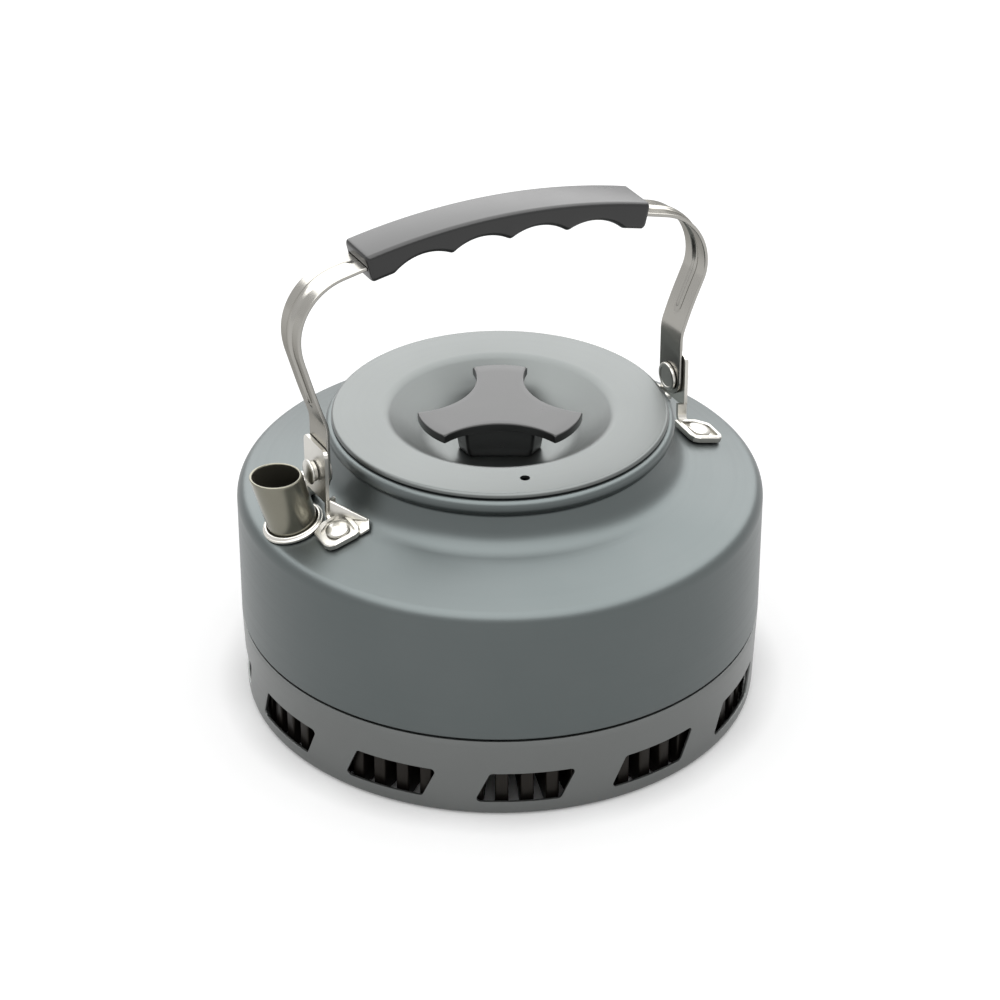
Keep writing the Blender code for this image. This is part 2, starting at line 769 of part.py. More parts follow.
def make_leg(side):
    """The narrow strip that folds from the ear's lower corner down to the wing."""
    frame = cone_frame(foot_rivet_distance, side * foot_rivet_offset)
    middle = ear_distance + bracket_sheet - seam_lap - leg_width / 2
    landing = (frame @ Vector((middle - foot_rivet_distance,
                               -side * wing_length / 2, touch_gap + seam_lap))).z
    outer = ear_half_width - seam_lap
    inner = outer - bracket_sheet
    end = ear_half_width + wing_spacing + leg_lap
    strip = rounded_path([
        (inner, leg_top, 0.0), (inner, landing, leg_bend),
        (end, landing, 0.0), (end, landing + bracket_sheet, 0.0),
        (outer, landing + bracket_sheet, leg_bend - bracket_sheet),
        (outer, leg_top, 0.0)], closed=True, step=radians(30.0))
    leg = plate(f"leg_{side}", [(side * y, z) for y, z in strip], leg_width, None, cutters)
    downhill = Matrix.Identity(4)
    downhill[2][0] = -tan(top_slope)
    leg.data.transform(Matrix.Translation((middle, 0, 0)) @ downhill
                       @ Matrix.Rotation(pi / 2, 4, "Z") @ Matrix.Rotation(pi / 2, 4, "X"))
    return leg


def make_brackets():
    low = leg_top - ear_foot
    high = pivot_height + ear_above_pivot
    ear = rounded_path([
        (-ear_half_width, low, ear_foot_corner), (ear_half_width, low, ear_foot_corner),
        (ear_half_width, high, ear_corner), (-ear_half_width, high, ear_corner)],
        closed=True, step=radians(30.0))
    bracket = plate("bracket_rear_side", ear, bracket_sheet, steel)
    bracket.data.transform(Matrix.Translation((ear_distance + bracket_sheet / 2, 0, 0))
                           @ Matrix.Rotation(pi / 2, 4, "Z") @ Matrix.Rotation(pi / 2, 4, "X"))
    hole = rod("ear_hole", pivot_shank_radius + rivet_fit, ear_distance - bracket_sheet,
               ear_distance + 2 * bracket_sheet, 16)
    hole.data.transform(Matrix.Translation((0, 0, pivot_height)) @ Matrix.Rotation(pi / 2, 4, "Y"))
    boolean(bracket, hole)
    for side in (-1, 1):
        boolean(bracket, make_leg(side), "UNION")
        boolean(bracket, make_wing(side), "UNION")
    bake(bracket)
    smooth(bracket)
    twin = bpy.data.objects.new("bracket_spout_side", bracket.data)
    twin.rotation_euler = (0, 0, pi)
    parts.objects.link(twin)


def make_foot_rivets():
    seat = 2 * touch_gap + bracket_sheet
    tail = -body_sheet - under_gap
    dome = foot_head_height - foot_head_edge
    profile = [(foot_head_radius * x, seat + foot_head_edge + dome * z)
               for x, z in arc(0.0, 0.0, 1.0, pi / 2, 0.0, 4)]
    profile[0] = (0.0, profile[0][1])
    profile += [(foot_head_radius, seat), (foot_shank_radius, seat), (foot_shank_radius, tail),
                (foot_tail_radius, tail), (foot_tail_radius, tail - 0.5 * foot_tail_height),
                (0.0, tail - foot_tail_height)]
    names = ("foot_rivet_rear_front", "foot_rivet_rear_back",
             "foot_rivet_spout_back", "foot_rivet_spout_front")
    first = turned(names[0], profile, steel, 10)
    bake(first)
    for name, frame in zip(names, foot_rivet_frames):
        rivet = first if name == names[0] else bpy.data.objects.new(name, first.data)
        if rivet is not first:
            parts.objects.link(rivet)
        rivet.matrix_world = frame


# Pivots

def make_pivots():
    inner_face = pivot_inner_seat - pivot_head_height
    dome = [(pivot_outer_head_radius * x, pivot_outer_seat + pivot_outer_head_height * z)
            for x, z in arc(0.0, 0.0, 1.0, pi / 2, 0.0, 3)]
    dome[0] = (0.0, dome[0][1])
    rivet = turned("pivot_rivet_rear", dome + [
        (pivot_shank_radius, pivot_outer_seat), (pivot_shank_radius, pivot_inner_seat),
        (pivot_head_radius, pivot_inner_seat), (pivot_head_radius, inner_face + pivot_chamfer),
        (pivot_head_radius - pivot_chamfer, inner_face), (0.0, inner_face)], steel, 16)
    bush = turned("pivot_bush_rear", [
        (pivot_shank_radius + rivet_fit, bush_start + bush_length),
        (bush_radius, bush_start + bush_length), (bush_radius, bush_start),
        (pivot_shank_radius + rivet_fit, bush_start)], steel, 16)
    outward = Matrix.Translation((0, 0, pivot_height)) @ Matrix.Rotation(pi / 2, 4, "Y")
    for piece, twin_name in ((rivet, "pivot_rivet_spout"), (bush, "pivot_bush_spout")):
        bake(piece)
        piece.matrix_world = outward
        twin = bpy.data.objects.new(twin_name, piece.data)
        parts.objects.link(twin)
        twin.matrix_world = Matrix.Rotation(pi, 4, "Z") @ outward


# Bail strap

arch_centre_height = pivot_height + bail_rise - grip_arch_radius
strap_arch_radius = grip_arch_radius - strap_depth_in_grip
strap_bend_height = pivot_height + strap_bend_rise
lean_start = strap_bend_height + lean_rise
rib_start = strap_bend_height + rib_rise


def smoothstep(value, start, end):
    share = min(max((value - start) / (end - start), 0.0), 1.0)
    return share * share * (3 - 2 * share)


def leaned(x, z):
    """Shear the bail's upper part, so that the spout side stands higher."""
    return x, z - x * tan(bail_lean) * smoothstep(z, lean_start, lean_start + lean_run)


def strap_centreline():
    """Points (x, z) from one rounded foot over the grip's arch to the other."""
    end_angle = grip_length / 2 / grip_arch_radius
    end_x = strap_arch_radius * sin(end_angle)
    end_z = arch_centre_height + strap_arch_radius * cos(end_angle)
    flare_x, flare_z = sin(strap_flare), cos(strap_flare)
    arch_x, arch_z = cos(end_angle), -sin(end_angle)
    gap_x = strap_distance - end_x
    gap_z = strap_bend_height - end_z
    run = (gap_x * arch_z - gap_z * arch_x) / (arch_x * flare_z - arch_z * flare_x)
    knee = (strap_distance + run * flare_x, strap_bend_height + run * flare_z)
    foot = pivot_height - strap_width / 2
    lower = [foot + d * strap_width / 2 for d in (0.0, 0.1, 0.3, 0.6, 1.0, 1.5)]
    side = rounded_path([
        (strap_distance, (pivot_height + strap_bend_height) / 2, 0.0),
        (strap_distance, strap_bend_height, strap_bend_radius),
        (*knee, strap_shoulder_radius), (end_x, end_z, 0.0)], step=radians(10.0))
    half = [(strap_distance, z) for z in lower] + side
    arch = [(strap_arch_radius * sin(a), arch_centre_height + strap_arch_radius * cos(a))
            for a in np.linspace(end_angle, -end_angle, 11)[1:-1]]
    return half + arch + [(-x, z) for x, z in reversed(half)]


def make_strap(bail_axis):
    line = strap_centreline()
    foot = pivot_height - strap_width / 2
    across = (-1.0, -rib_width / strap_width, -0.4 * rib_width / strap_width,
              0.4 * rib_width / strap_width, rib_width / strap_width, 1.0)
    vertices = []
    count = len(line)
    for i, (x, z) in enumerate(line):
        before = line[max(i - 1, 0)]
        after = line[min(i + 1, count - 1)]
        run = Vector((after[0] - before[0], 0, after[1] - before[1])).normalized()
        out = Vector((run.z, 0, -run.x))
        from_end = z - foot
        round_end = max(strap_width / 2 - from_end, 0.0)
        half_width = sqrt(max((strap_width / 2) ** 2 - round_end ** 2, (strap_sheet / 2) ** 2))
        if from_end > strap_width / 2:
            half_width = strap_width / 2
        grip_edge = abs(x) - grip_length / 2
        rise = (rib_height * smoothstep(z, rib_start - rib_fade / 2, rib_start + rib_fade / 2)
                * smoothstep(grip_edge, rib_margin, rib_margin + rib_fade))
        x, z = leaned(x, z)
        for k, share in enumerate(across):
            height = rise if k in (2, 3) else 0.0
            place = Vector((x, share * half_width, z)) + out * height
            vertices.append(place)
    width = len(across)
    faces = [(i * width + k, i * width + k + 1, (i + 1) * width + k + 1, (i + 1) * width + k)
             for i in range(count - 1) for k in range(width - 1)]
    strap = mesh_object("bail_strap", vertices, [], faces, steel)
    shell = strap.modifiers.new("sheet", "SOLIDIFY")
    shell.thickness = strap_sheet
    shell.offset = 0.0
    for side in (-1, 1):
        hole = rod(f"strap_hole_{side}", pivot_shank_radius + rivet_fit,
                   strap_distance - strap_sheet, strap_distance + strap_sheet, 16)
        hole.matrix_world = (Matrix.Translation((0, 0, pivot_height))
                             @ Matrix.Rotation(side * pi / 2, 4, "Y"))
        boolean(strap, hole)
    bake(strap)
    smooth(strap, radians(30.0))
    return carry(strap, bail_axis)


# Grip moulding

def grip_side(depth_at):
    """Side view of a body that follows the grip's arch, from its lower left round."""
    half = grip_length / 2
    below = [s for s in np.linspace(-half, half, 4 * grip_finger_count * 2 + 5)]
    points = []
    for s in below:
        radius = grip_arch_radius - depth_at(s)
        points.append((radius * sin(s / grip_arch_radius),
                       arch_centre_height + radius * cos(s / grip_arch_radius)))
    return points


def finger_depth(s):
    """Depth of the grip below its top, with a round hollow for each finger."""
    nearest = min(abs(s - (k - (grip_finger_count - 1) / 2) * grip_finger_pitch)
                  for k in range(grip_finger_count))
    half = grip_finger_pitch / 2
    radius = (half ** 2 + grip_hollow_depth ** 2) / (2 * grip_hollow_depth)
    if nearest >= half:
        return grip_crest_depth
    return grip_crest_depth - (sqrt(radius ** 2 - nearest ** 2) - (radius - grip_hollow_depth))


def make_grip(bail_axis):
    bottom = grip_side(finger_depth)
    top = [(grip_arch_radius * sin(a), arch_centre_height + grip_arch_radius * cos(a))
           for a in np.linspace(grip_length / 2, -grip_length / 2, 15) / grip_arch_radius]
    outline = [leaned(x, z) for x, z in bottom + top]
    grip = plate("grip", outline, grip_width, black_plastic)
    grip.data.transform(Matrix.Rotation(pi / 2, 4, "X"))
    rounded_edges(grip, grip_round, 2, radians(60.0))
    middle = strap_arch_radius
    half_slot = strap_sheet / 2 + slot_fit
    reach = (grip_length / 2 + strap_width / 4) / grip_arch_radius
    angles = np.linspace(-reach, reach, 15)
    slot = [((middle - half_slot) * sin(a), arch_centre_height + (middle - half_slot) * cos(a))
            for a in angles]
    slot += [((middle + half_slot) * sin(a), arch_centre_height + (middle + half_slot) * cos(a))
             for a in angles[::-1]]
    cut = plate("grip_slot", [leaned(x, z) for x, z in slot], strap_width + 2 * slot_fit, None, cutters)
    cut.data.transform(Matrix.Rotation(pi / 2, 4, "X"))
    boolean(grip, cut)
    bake(grip)
    smooth(grip, radians(30.0))
    return carry(grip, bail_axis)


# Assembly

lid_axis = empty("lid_lift_axis", (0, 0, lid_top_height))
bail_axis = empty("bail_pivot_axis", (0, 0, pivot_height))
make_vessel()
make_skirt()
make_fins()
make_lid(lid_axis)
make_plug(lid_axis)
make_knob(lid_axis)
make_knob_fixings(lid_axis)
make_spout()
make_brackets()
make_foot_rivets()
make_pivots()
make_strap(bail_axis)
make_grip(bail_axis)
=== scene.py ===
from math import atan2, cos, hypot, pi, radians, sin, tan

import bmesh
import bpy
import numpy as np
from mathutils import Matrix, Vector


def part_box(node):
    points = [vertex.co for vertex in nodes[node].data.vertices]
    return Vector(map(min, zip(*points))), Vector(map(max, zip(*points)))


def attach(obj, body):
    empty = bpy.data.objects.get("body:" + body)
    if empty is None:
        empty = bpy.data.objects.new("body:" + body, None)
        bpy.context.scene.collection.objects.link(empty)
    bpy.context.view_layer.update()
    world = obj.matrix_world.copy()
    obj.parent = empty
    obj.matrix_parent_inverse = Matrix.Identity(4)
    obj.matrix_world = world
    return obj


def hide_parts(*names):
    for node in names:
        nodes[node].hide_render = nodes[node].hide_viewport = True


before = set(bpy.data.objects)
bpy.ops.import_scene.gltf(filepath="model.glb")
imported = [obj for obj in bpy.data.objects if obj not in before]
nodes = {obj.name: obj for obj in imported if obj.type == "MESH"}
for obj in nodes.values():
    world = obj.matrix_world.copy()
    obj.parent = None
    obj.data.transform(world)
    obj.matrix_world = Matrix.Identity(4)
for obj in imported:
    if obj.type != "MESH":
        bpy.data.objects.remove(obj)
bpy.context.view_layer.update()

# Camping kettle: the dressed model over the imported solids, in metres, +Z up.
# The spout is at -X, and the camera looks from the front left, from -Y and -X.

mm = 0.001

# Places shared by several pieces, read from the solids
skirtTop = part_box("vented_skirt")[1].z
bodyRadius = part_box("body_shell")[1].x
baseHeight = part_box("body_shell")[0].z
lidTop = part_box("lid_pan")[1].z
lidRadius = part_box("lid_pan")[1].x
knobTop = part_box("knob")[1].z
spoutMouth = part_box("spout_tube")[1].z
pivotHeight = (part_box("pivot_rivet_rear")[0].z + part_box("pivot_rivet_rear")[1].z) / 2

# Sheets, gaps and the conical top, as the solids have them
touchGap = 0.3 * mm    # between pieces that rest on each other
slopeGap = 0.45 * mm    # under the sloping sheet of the top
bodySheet = 0.9 * mm
bracketSheet = 1.2 * mm
shoulderHeight = 74.6 * mm
topSlope = radians(16.35)
seamHeight = skirtTop + touchGap
lidSeat = lidTop - 1.7 * mm    # the lower edge of the lid's rim
skirtFoot = bodyRadius - 1.1 * mm    # the skirt narrows a little towards its foot
halfTurn = Matrix.Rotation(pi, 4, "Z")

# How every mesh is finished
weldDistance = 0.002 * mm
smoothAngle = 35.0    # an edge that turns by more degrees stays crisp
boreSides = 40


# Height of the outside of the conical top: the shoulder's plus the way in times the slope.
def coneHeight(radius):
    return shoulderHeight + (bodyRadius - radius) * tan(topSlope)


# Frame on the conical top: Z square to it, X downhill in the plane of +X.
def coneFrame(along, across):
    bearing = atan2(across, along)
    up = Vector((sin(topSlope) * cos(bearing), sin(topSlope) * sin(bearing), cos(topSlope)))
    downhill = (Vector((1, 0, 0)) - up * up.x).normalized()
    place = Matrix((downhill, up.cross(downhill), up)).transposed().to_4x4()
    place.translation = Vector((along, across, coneHeight(hypot(along, across))))
    return place


# Materials. Metals keep the default IOR, and pattern scales are counts per millimetre.

# Linear colour of an sRGB hex code.
def linear(code):
    share = np.array([int(code[i:i + 2], 16) for i in (0, 2, 4)]) / 255
    bent = np.where(share <= 0.04045, share / 12.92, ((share + 0.055) / 1.055) ** 2.4)
    return (*bent.tolist(), 1.0)


# A shader node; each input takes a value or another node's socket.
def addNode(tree, kind, inputs=None, **settings):
    node = tree.nodes.new("ShaderNode" + kind)
    for name, value in settings.items():
        setattr(node, name, value)
    for name, value in (inputs or {}).items():
        if isinstance(value, bpy.types.NodeSocket):
            tree.links.new(value, node.inputs[name])
        else:
            node.inputs[name].default_value = value
    return node


# A material, its tree and its shader, with the shader's constant inputs set.
def newMaterial(name, **constants):
    material = bpy.data.materials.new(name)
    material.use_nodes = True
    tree = material.node_tree
    shader = tree.nodes["Principled BSDF"]
    for key, value in constants.items():
        shader.inputs[key.replace("_", " ")].default_value = value
    return material, tree, shader


# A material with noise patterns (space, scale, detail). One carries the colour from dark to light
# and one the roughness from low to high, and each bump (pattern, depth, strength) adds to the
# one before it. The spun space is the distance from the axis and the height, so that a pattern
# in it runs round the kettle as lathe marks do.
def patternedMaterial(name, finish, dark, light, low, high, **constants):
    material, tree, shader = newMaterial(name, **constants)
    place = addNode(tree, "TexCoord").outputs["Object"]
    apart = addNode(tree, "SeparateXYZ", {"Vector": place}).outputs
    flat = addNode(tree, "CombineXYZ", {"X": apart["X"], "Y": apart["Y"]}).outputs[0]
    away = addNode(tree, "VectorMath", {0: flat}, operation="LENGTH").outputs["Value"]
    spun = addNode(tree, "CombineXYZ", {"X": away, "Y": apart["Z"]}).outputs[0]
    spaces = {"solid": place, "spun": spun}
    patterns = {}
    for word, (space, scale, detail) in finish["patterns"].items():
        patterns[word] = addNode(tree, "TexNoise", {"Vector": spaces[space], "Scale": scale,
                                                    "Detail": detail}).outputs["Fac"]
    tone = addNode(tree, "Mix", {"Factor": patterns[finish["tone"]], "A": dark, "B": light},
                   data_type="RGBA")
    tree.links.new(tone.outputs["Result"], shader.inputs["Base Color"])
    rough = addNode(tree, "MapRange", {"Value": patterns[finish["wear"]], "To Min": low,
                                       "To Max": high})
    tree.links.new(rough.outputs["Result"], shader.inputs["Roughness"])
    before = {}
    for word, depth, strength in finish["bumps"]:
        bump = addNode(tree, "Bump", {"Height": patterns[word], "Distance": depth,
                                      "Strength": strength, **before})
        before = {"Normal": bump.outputs["Normal"]}
        tree.links.new(bump.outputs["Normal"], shader.inputs["Normal"])
    return material


# Hard-anodised aluminium, spun on a lathe, then blasted. The oxide gives the eye a dull grey
# sheen with no mirror image in it, the lathe faint rings and the dye slight clouds 36 mm wide.
# The real rings and grit are finer, and are drawn 1.1 and 0.2 mm wide so that they show.
anodising = {"patterns": {"clouds": ("solid", 0.028 / mm, 4.0), "rings": ("spun", 0.9 / mm, 3.0),
                          "grit": ("solid", 5.2 / mm, 1.0)},
             "tone": "clouds", "wear": "rings", "spread": 0.04, "metallic": 0.88,
             "bumps": (("rings", 0.006 * mm, 0.5), ("grit", 0.004 * mm, 0.5))}


def anodisedMetal(name, dark, light, roughness):
    return patternedMaterial(name, anodising, linear(dark), linear(light),
                             roughness - anodising["spread"], roughness + anodising["spread"],
                             Metallic=anodising["metallic"])


# Stainless steel, barrel-polished after pressing: near mirror, broken by soft waves 9 mm wide
# and by wear in patches of 2.4 mm that blurs it. The bail's edge tint is under white, so that
# its edges stand out from a white surround.
polishing = {"patterns": {"waves": ("solid", 0.11 / mm, 2.0), "rubs": ("solid", 0.42 / mm, 2.0)},
             "tone": "waves", "wear": "rubs", "smoothest": 0.8, "roughest": 1.25,
             "bumps": (("waves", 0.05 * mm, 0.35),)}


def polishedSteel(name, code, roughness, blotch, metallic=1.0, edgeTint="FFFFFF"):
    rich = linear(code)
    dull = tuple(part * (1 - blotch) for part in rich[:3]) + (1.0,)
    return patternedMaterial(name, polishing, dull, rich, roughness * polishing["smoothest"],
                             roughness * polishing["roughest"], Metallic=metallic,
                             Specular_Tint=linear(edgeTint))


# Thin rolled aluminium, its colour darkened nearly to black as painted shade for the hollow
# inside the skirt: a dark satin with a few glints, tinted brown by the burner in clouds 6 mm wide.
rolling = {"patterns": {"clouds": ("solid", 0.16 / mm, 5.0)}, "tone": "clouds", "wear": "clouds",
           "bumps": ()}

# Black moulded nylon: satin, with a broad soft shine on its flat top. The spark-eroded grain of
# its mould is 0.1 mm wide in the real part, and is drawn 0.4 mm wide so that it shows.
moulding = {"patterns": {"grain": ("solid", 2.6 / mm, 2.0), "clouds": ("solid", 0.09 / mm, 3.0)},
            "tone": "clouds", "wear": "clouds", "bumps": (("grain", 0.012 * mm, 0.4),)}

bodyMetal = anodisedMetal("hardAnodisedBody", "565C5C", "5D6262", 0.40)
# The skirt is the body's anodising drawn lighter: a painted reflection of the floor below it.
skirtMetalPaintedReflection = anodisedMetal("anodisedSkirtPaintedReflection", "686A69", "6E706F", 0.36)
lidMetal = anodisedMetal("anodisedLid", "5D605F", "646766", 0.37)
# Fin colours near black: painted shade inside the skirt, with a brown tint from the burner.
finMetalPaintedShade = patternedMaterial("rolledFinAluminiumPaintedShade", rolling, linear("1C1917"), linear("2A2723"),
                             0.32, 0.5, Metallic=0.8)
brightSteel = polishedSteel("polishedStainless", "A09E99", 0.2, 0.06, edgeTint="B8B7B4")
pressedSteel = polishedSteel("tumbledStainless", "C4C2BC", 0.3, 0.04)
spoutSteel = polishedSteel("drawnStainlessTube", "817F73", 0.24, 0.25, 0.82)
blackPlastic = patternedMaterial("mouldedNylon", moulding, linear("0E0E0E"), linear("151515"),
                                 0.25, 0.32, Specular_IOR_Level=0.5)
print("materials made")


# Outlines and surfaces

# A circle's arc: its centre plus the radius, turned evenly from start to end.
def arc(centre, radius, start, end, steps):
    turn = np.linspace(start, end, steps + 1)
    return np.stack([centre[0] + radius * np.cos(turn), centre[1] + radius * np.sin(turn)], 1)


# A polyline of (x, y, radius) whose corners become arcs. An arc touches both sides at the radius
# times the tangent of half the turn from the corner, and shrinks where a side is too short.
def roundedPath(corners, closed=False, step=radians(8.0)):
    sharedSide, ownSide = 0.49, 0.98    # how much of a side an arc may use
    points = []
    count = len(corners)
    for i, (x, y, radius) in enumerate(corners):
        inside = closed or 0 < i < count - 1
        if not inside or radius <= 0.0:
            points.append(np.array([[x, y]]))
            continue
        corner = Vector((x, y))
        before = Vector(corners[i - 1][:2]) - corner
        after = Vector(corners[(i + 1) % count][:2]) - corner
        turn = pi - before.angle(after)
        room = [side.length * (sharedSide if corners[j % count][2] > 0.0 else ownSide)
                for side, j in ((before, i - 1), (after, i + 1))]
        reach = min(radius * tan(turn / 2), *room)
        radius = reach / tan(turn / 2)
        before.normalize()
        after.normalize()
        middle = corner + (before + after).normalized() * hypot(reach, radius)
        start = corner + before * reach - middle
        end = corner + after * reach - middle
        first = atan2(start.y, start.x)
        sweep = (atan2(end.y, end.x) - first + pi) % (2 * pi) - pi
        steps = max(2, round(abs(sweep) / step))
        points.append(arc(middle, radius, first, first + sweep, steps))
    return np.vstack(points)


# A convex outline of corners (x, y, radius). An arc's centre lies off its corner by the radius,
# square to both sides, and each corner gets the same number of points.
def roundedLoop(corners, arcPoints):
    spots = np.array(corners, float)
    place, radius = spots[:, :2], spots[:, 2]
    run = np.roll(place, -1, 0) - place
    run /= np.linalg.norm(run, axis=1)[:, None]
    onward = np.roll(run, -1, 0)
    winding = np.sign(np.sum(run[:, 0] * onward[:, 1] - run[:, 1] * onward[:, 0]))
    inward = np.stack([-run[:, 1], run[:, 0]], 1) * winding
    before, after = np.roll(inward, 1, 0), inward
    spread = (before + after) / (1 + np.sum(before * after, 1))[:, None]
    centre = place + spread * radius[:, None]
    first = np.arctan2(-before[:, 1], -before[:, 0])
    sweep = (np.arctan2(-after[:, 1], -after[:, 0]) - first + pi) % (2 * pi) - pi
    turn = first[:, None] + sweep[:, None] * np.linspace(0, 1, arcPoints)
    ring = centre[:, None] + radius[:, None, None] * np.stack([np.cos(turn), np.sin(turn)], -1)
    return ring.reshape(-1, 2)


# Closed outline of a sheet: its middle line moved half a thickness to each side, mitred where
# it bends, and joined at both ends by half circles.
def sheetLoop(path, thickness, edgeSteps=4):
    leastMitre = 0.5    # a mitre is never drawn out past twice the thickness
    run = np.diff(path, axis=0)
    run /= np.linalg.norm(run, axis=1)[:, None]
    before, after = np.vstack([run[:1], run]), np.vstack([run, run[-1:]])
    along = before + after
    along /= np.linalg.norm(along, axis=1)[:, None]
    stretch = 1 / np.maximum(np.sum(along * before, 1), leastMitre)
    side = np.stack([along[:, 1], -along[:, 0]], 1) * (thickness / 2 * stretch)[:, None]
    turn = np.linspace(0, pi, edgeSteps + 2)[1:-1, None]

    def edge(k, sign):
        return path[k] + sign * (np.cos(turn) * side[k] + np.sin(turn) * along[k] * thickness / 2)

    return np.vstack([path + side, edge(-1, 1), (path - side)[::-1], edge(0, -1)])


# Points at a radius and a height on each bearing; numbers, columns and grids may be mixed.
def around(radius, height, bearing):
    radius, height, bearing = np.broadcast_arrays(radius, height, bearing)
    return np.stack([radius * np.cos(bearing), radius * np.sin(bearing), height], -1)


# Quads of a grid of points, wrapped round where it is closed.
def gridFaces(rows, columns, closeRows=True, closeColumns=True):
    a, b = np.meshgrid(np.arange(rows - (not closeRows)), np.arange(columns - (not closeColumns)),
                       indexing="ij")
    below, beside = (a + 1) % rows, (b + 1) % columns
    return np.stack([a * columns + b, a * columns + beside, below * columns + beside,
                     below * columns + b], -1).reshape(-1, 4)


# Smooth shading, except over edges sharper than an angle in degrees.
def shade(piece, angle):
    piece.data.shade_smooth()
    piece.data.set_sharp_from_angle(angle=radians(angle))


# One mesh from grids of (points, faces), welded, with its faces turned outwards.
def newPiece(name, grids, material, angle=smoothAngle):
    points, faces, start = [], [], 0
    for spots, quads in grids:
        spots = np.asarray(spots, float).reshape(-1, 3)
        points.append(spots)
        faces.append(quads + start)
        start += len(spots)
    mesh = bpy.data.meshes.new(name)
    mesh.from_pydata(np.vstack(points).tolist(), [], np.vstack(faces).tolist())
    shape = bmesh.new()
    shape.from_mesh(mesh)
    bmesh.ops.remove_doubles(shape, verts=shape.verts, dist=weldDistance)
    bmesh.ops.recalc_face_normals(shape, faces=shape.faces)
    shape.to_mesh(mesh)
    shape.free()
    mesh.materials.append(material)
    piece = bpy.data.objects.new(name, mesh)
    bpy.context.scene.collection.objects.link(piece)
    shade(piece, angle)
    return piece


# A closed profile of (radius, height) turned about Z, then put on a frame.
def revolved(name, loop, segments, material, place=None, angle=smoothAngle):
    turn = np.linspace(0, 2 * pi, segments, endpoint=False)
    loop = np.asarray(loop)
    spots = around(loop[:, :1], loop[:, 1:], turn)
    piece = newPiece(name, [(spots, gridFaces(len(loop), segments))], material, angle)
    if place is not None:
        piece.data.transform(place)
    return piece


# Put the result of a piece's modifiers in its mesh.
def settle(piece, angle=smoothAngle):
    bpy.context.view_layer.update()
    graph = bpy.context.evaluated_depsgraph_get()
    mesh = bpy.data.meshes.new_from_object(piece.evaluated_get(graph))
    piece.modifiers.clear()
    piece.data = mesh
    shade(piece, angle)
    return piece


# Round the edges of a piece that are sharper than an angle in degrees.
def softenEdges(piece, width, segments, sharperThan):
    softened = piece.modifiers.new("softened", "BEVEL")
    softened.width = width
    softened.segments = segments
    softened.limit_method = "ANGLE"
    softened.angle_limit = radians(sharperThan)


# Cut closed shapes out of a piece, and remove the shapes.
def cutOut(piece, cutters, angle=smoothAngle):
    for cutter in cutters:
        cut = piece.modifiers.new(cutter.name, "BOOLEAN")
        cut.operation = "DIFFERENCE"
        cut.solver = "EXACT"
        cut.object = cutter
    settle(piece, angle)
    for cutter in cutters:
        bpy.data.objects.remove(cutter, do_unlink=True)


# Bore the same hole through a piece at each frame, this far to both sides of it.
def drill(piece, radius, reach, frames, angle=smoothAngle, height=0.0):
    low, high = height - reach, height + reach
    loop = [(0.0, low), (radius, low), (radius, high), (0.0, high)]
    cutOut(piece, [revolved(f"{piece.name}Bore{k}", loop, boreSides, None, place)
                   for k, place in enumerate(frames)], angle)


# The same rings with both ends drawn together to their middles.
def capped(rings):
    middles = [np.broadcast_to(ring.mean(0), ring.shape)[None] for ring in (rings[0], rings[-1])]
    return np.concatenate([middles[0], rings, middles[1]])


# The piece rides on a body and stands for these nodes, which are hidden.
def dress(piece, body, slot, *replaced):
    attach(piece, body)
    if replaced:
        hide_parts(*replaced)


# 0 up to the start and 1 past the end; between them three squares less two cubes of the share.
def smoothstep(value, start, end):
    share = np.clip((value - start) / (end - start), 0.0, 1.0)
    return share * share * (3 - 2 * share)


# Where the spout and the four foot rivets stand on the conical top

spout = {"radius": 8.1 * mm, "wall": 0.9 * mm, "inset": 3.449 * mm, "flange": 0.9 * mm,
         "bore": 6.0 * mm, "collarWidth": 1.6 * mm, "collarHeight": 1.7 * mm, "crownShare": 0.3,
         "crownEnd": 0.25, "footRound": 0.35 * mm, "footRise": 0.5 * mm, "segments": 128,
         "rimSteps": 9, "crownSteps": 9, "footSteps": 5, "sharp": 50.0,
         "shares": (0.2, 0.5, 0.8, 0.97)}
spout["distance"] = bodyRadius - spout["inset"] - (spout["radius"] + touchGap) * cos(topSlope)
spoutFrame = halfTurn @ coneFrame(spout["distance"], 0.0)
footRivet = {"distance": 65.913 * mm, "offset": 15.3 * mm, "head": 3.9 * mm, "height": 1.7 * mm,
             "edge": 0.35 * mm, "edgeDraft": 0.1 * mm, "shank": 1.7 * mm, "tail": 3.1 * mm,
             "tailHeight": 1.0 * mm, "tailChamfer": 0.5 * mm, "bore": 3.0 * mm, "domeSteps": 14,
             "segments": 48}
rivetFrames = {}
for end, turned, words in (("rear", Matrix.Identity(4), ("front", "back")),
                           ("spout", halfTurn, ("back", "front"))):
    for side, word in zip((-1, 1), words):
        spot = coneFrame(footRivet["distance"], side * footRivet["offset"])
        rivetFrames[f"foot_rivet_{end}_{word}"] = turned @ spot


# Vessel

vessel = {"neckRadius": lidRadius - 0.6 * mm, "neckHeight": 11.6 * mm, "neckFillet": 17.0 * mm,
          "neckLean": radians(20), "beadRoll": 2.05 * mm, "beadCrown": 2.9 * mm,
          "beadInner": 1.1 * mm, "beadBelly": 1.0 * mm, "beadUnder": 1.8 * mm,
          "beadNeck": 3.2 * mm, "shoulderRadius": 4.8 * mm, "seamStep": 0.8 * mm,
          "seamRound": 0.5 * mm, "spigot": 84.64 * mm, "baseCorner": 4.0 * mm, "segments": 288}


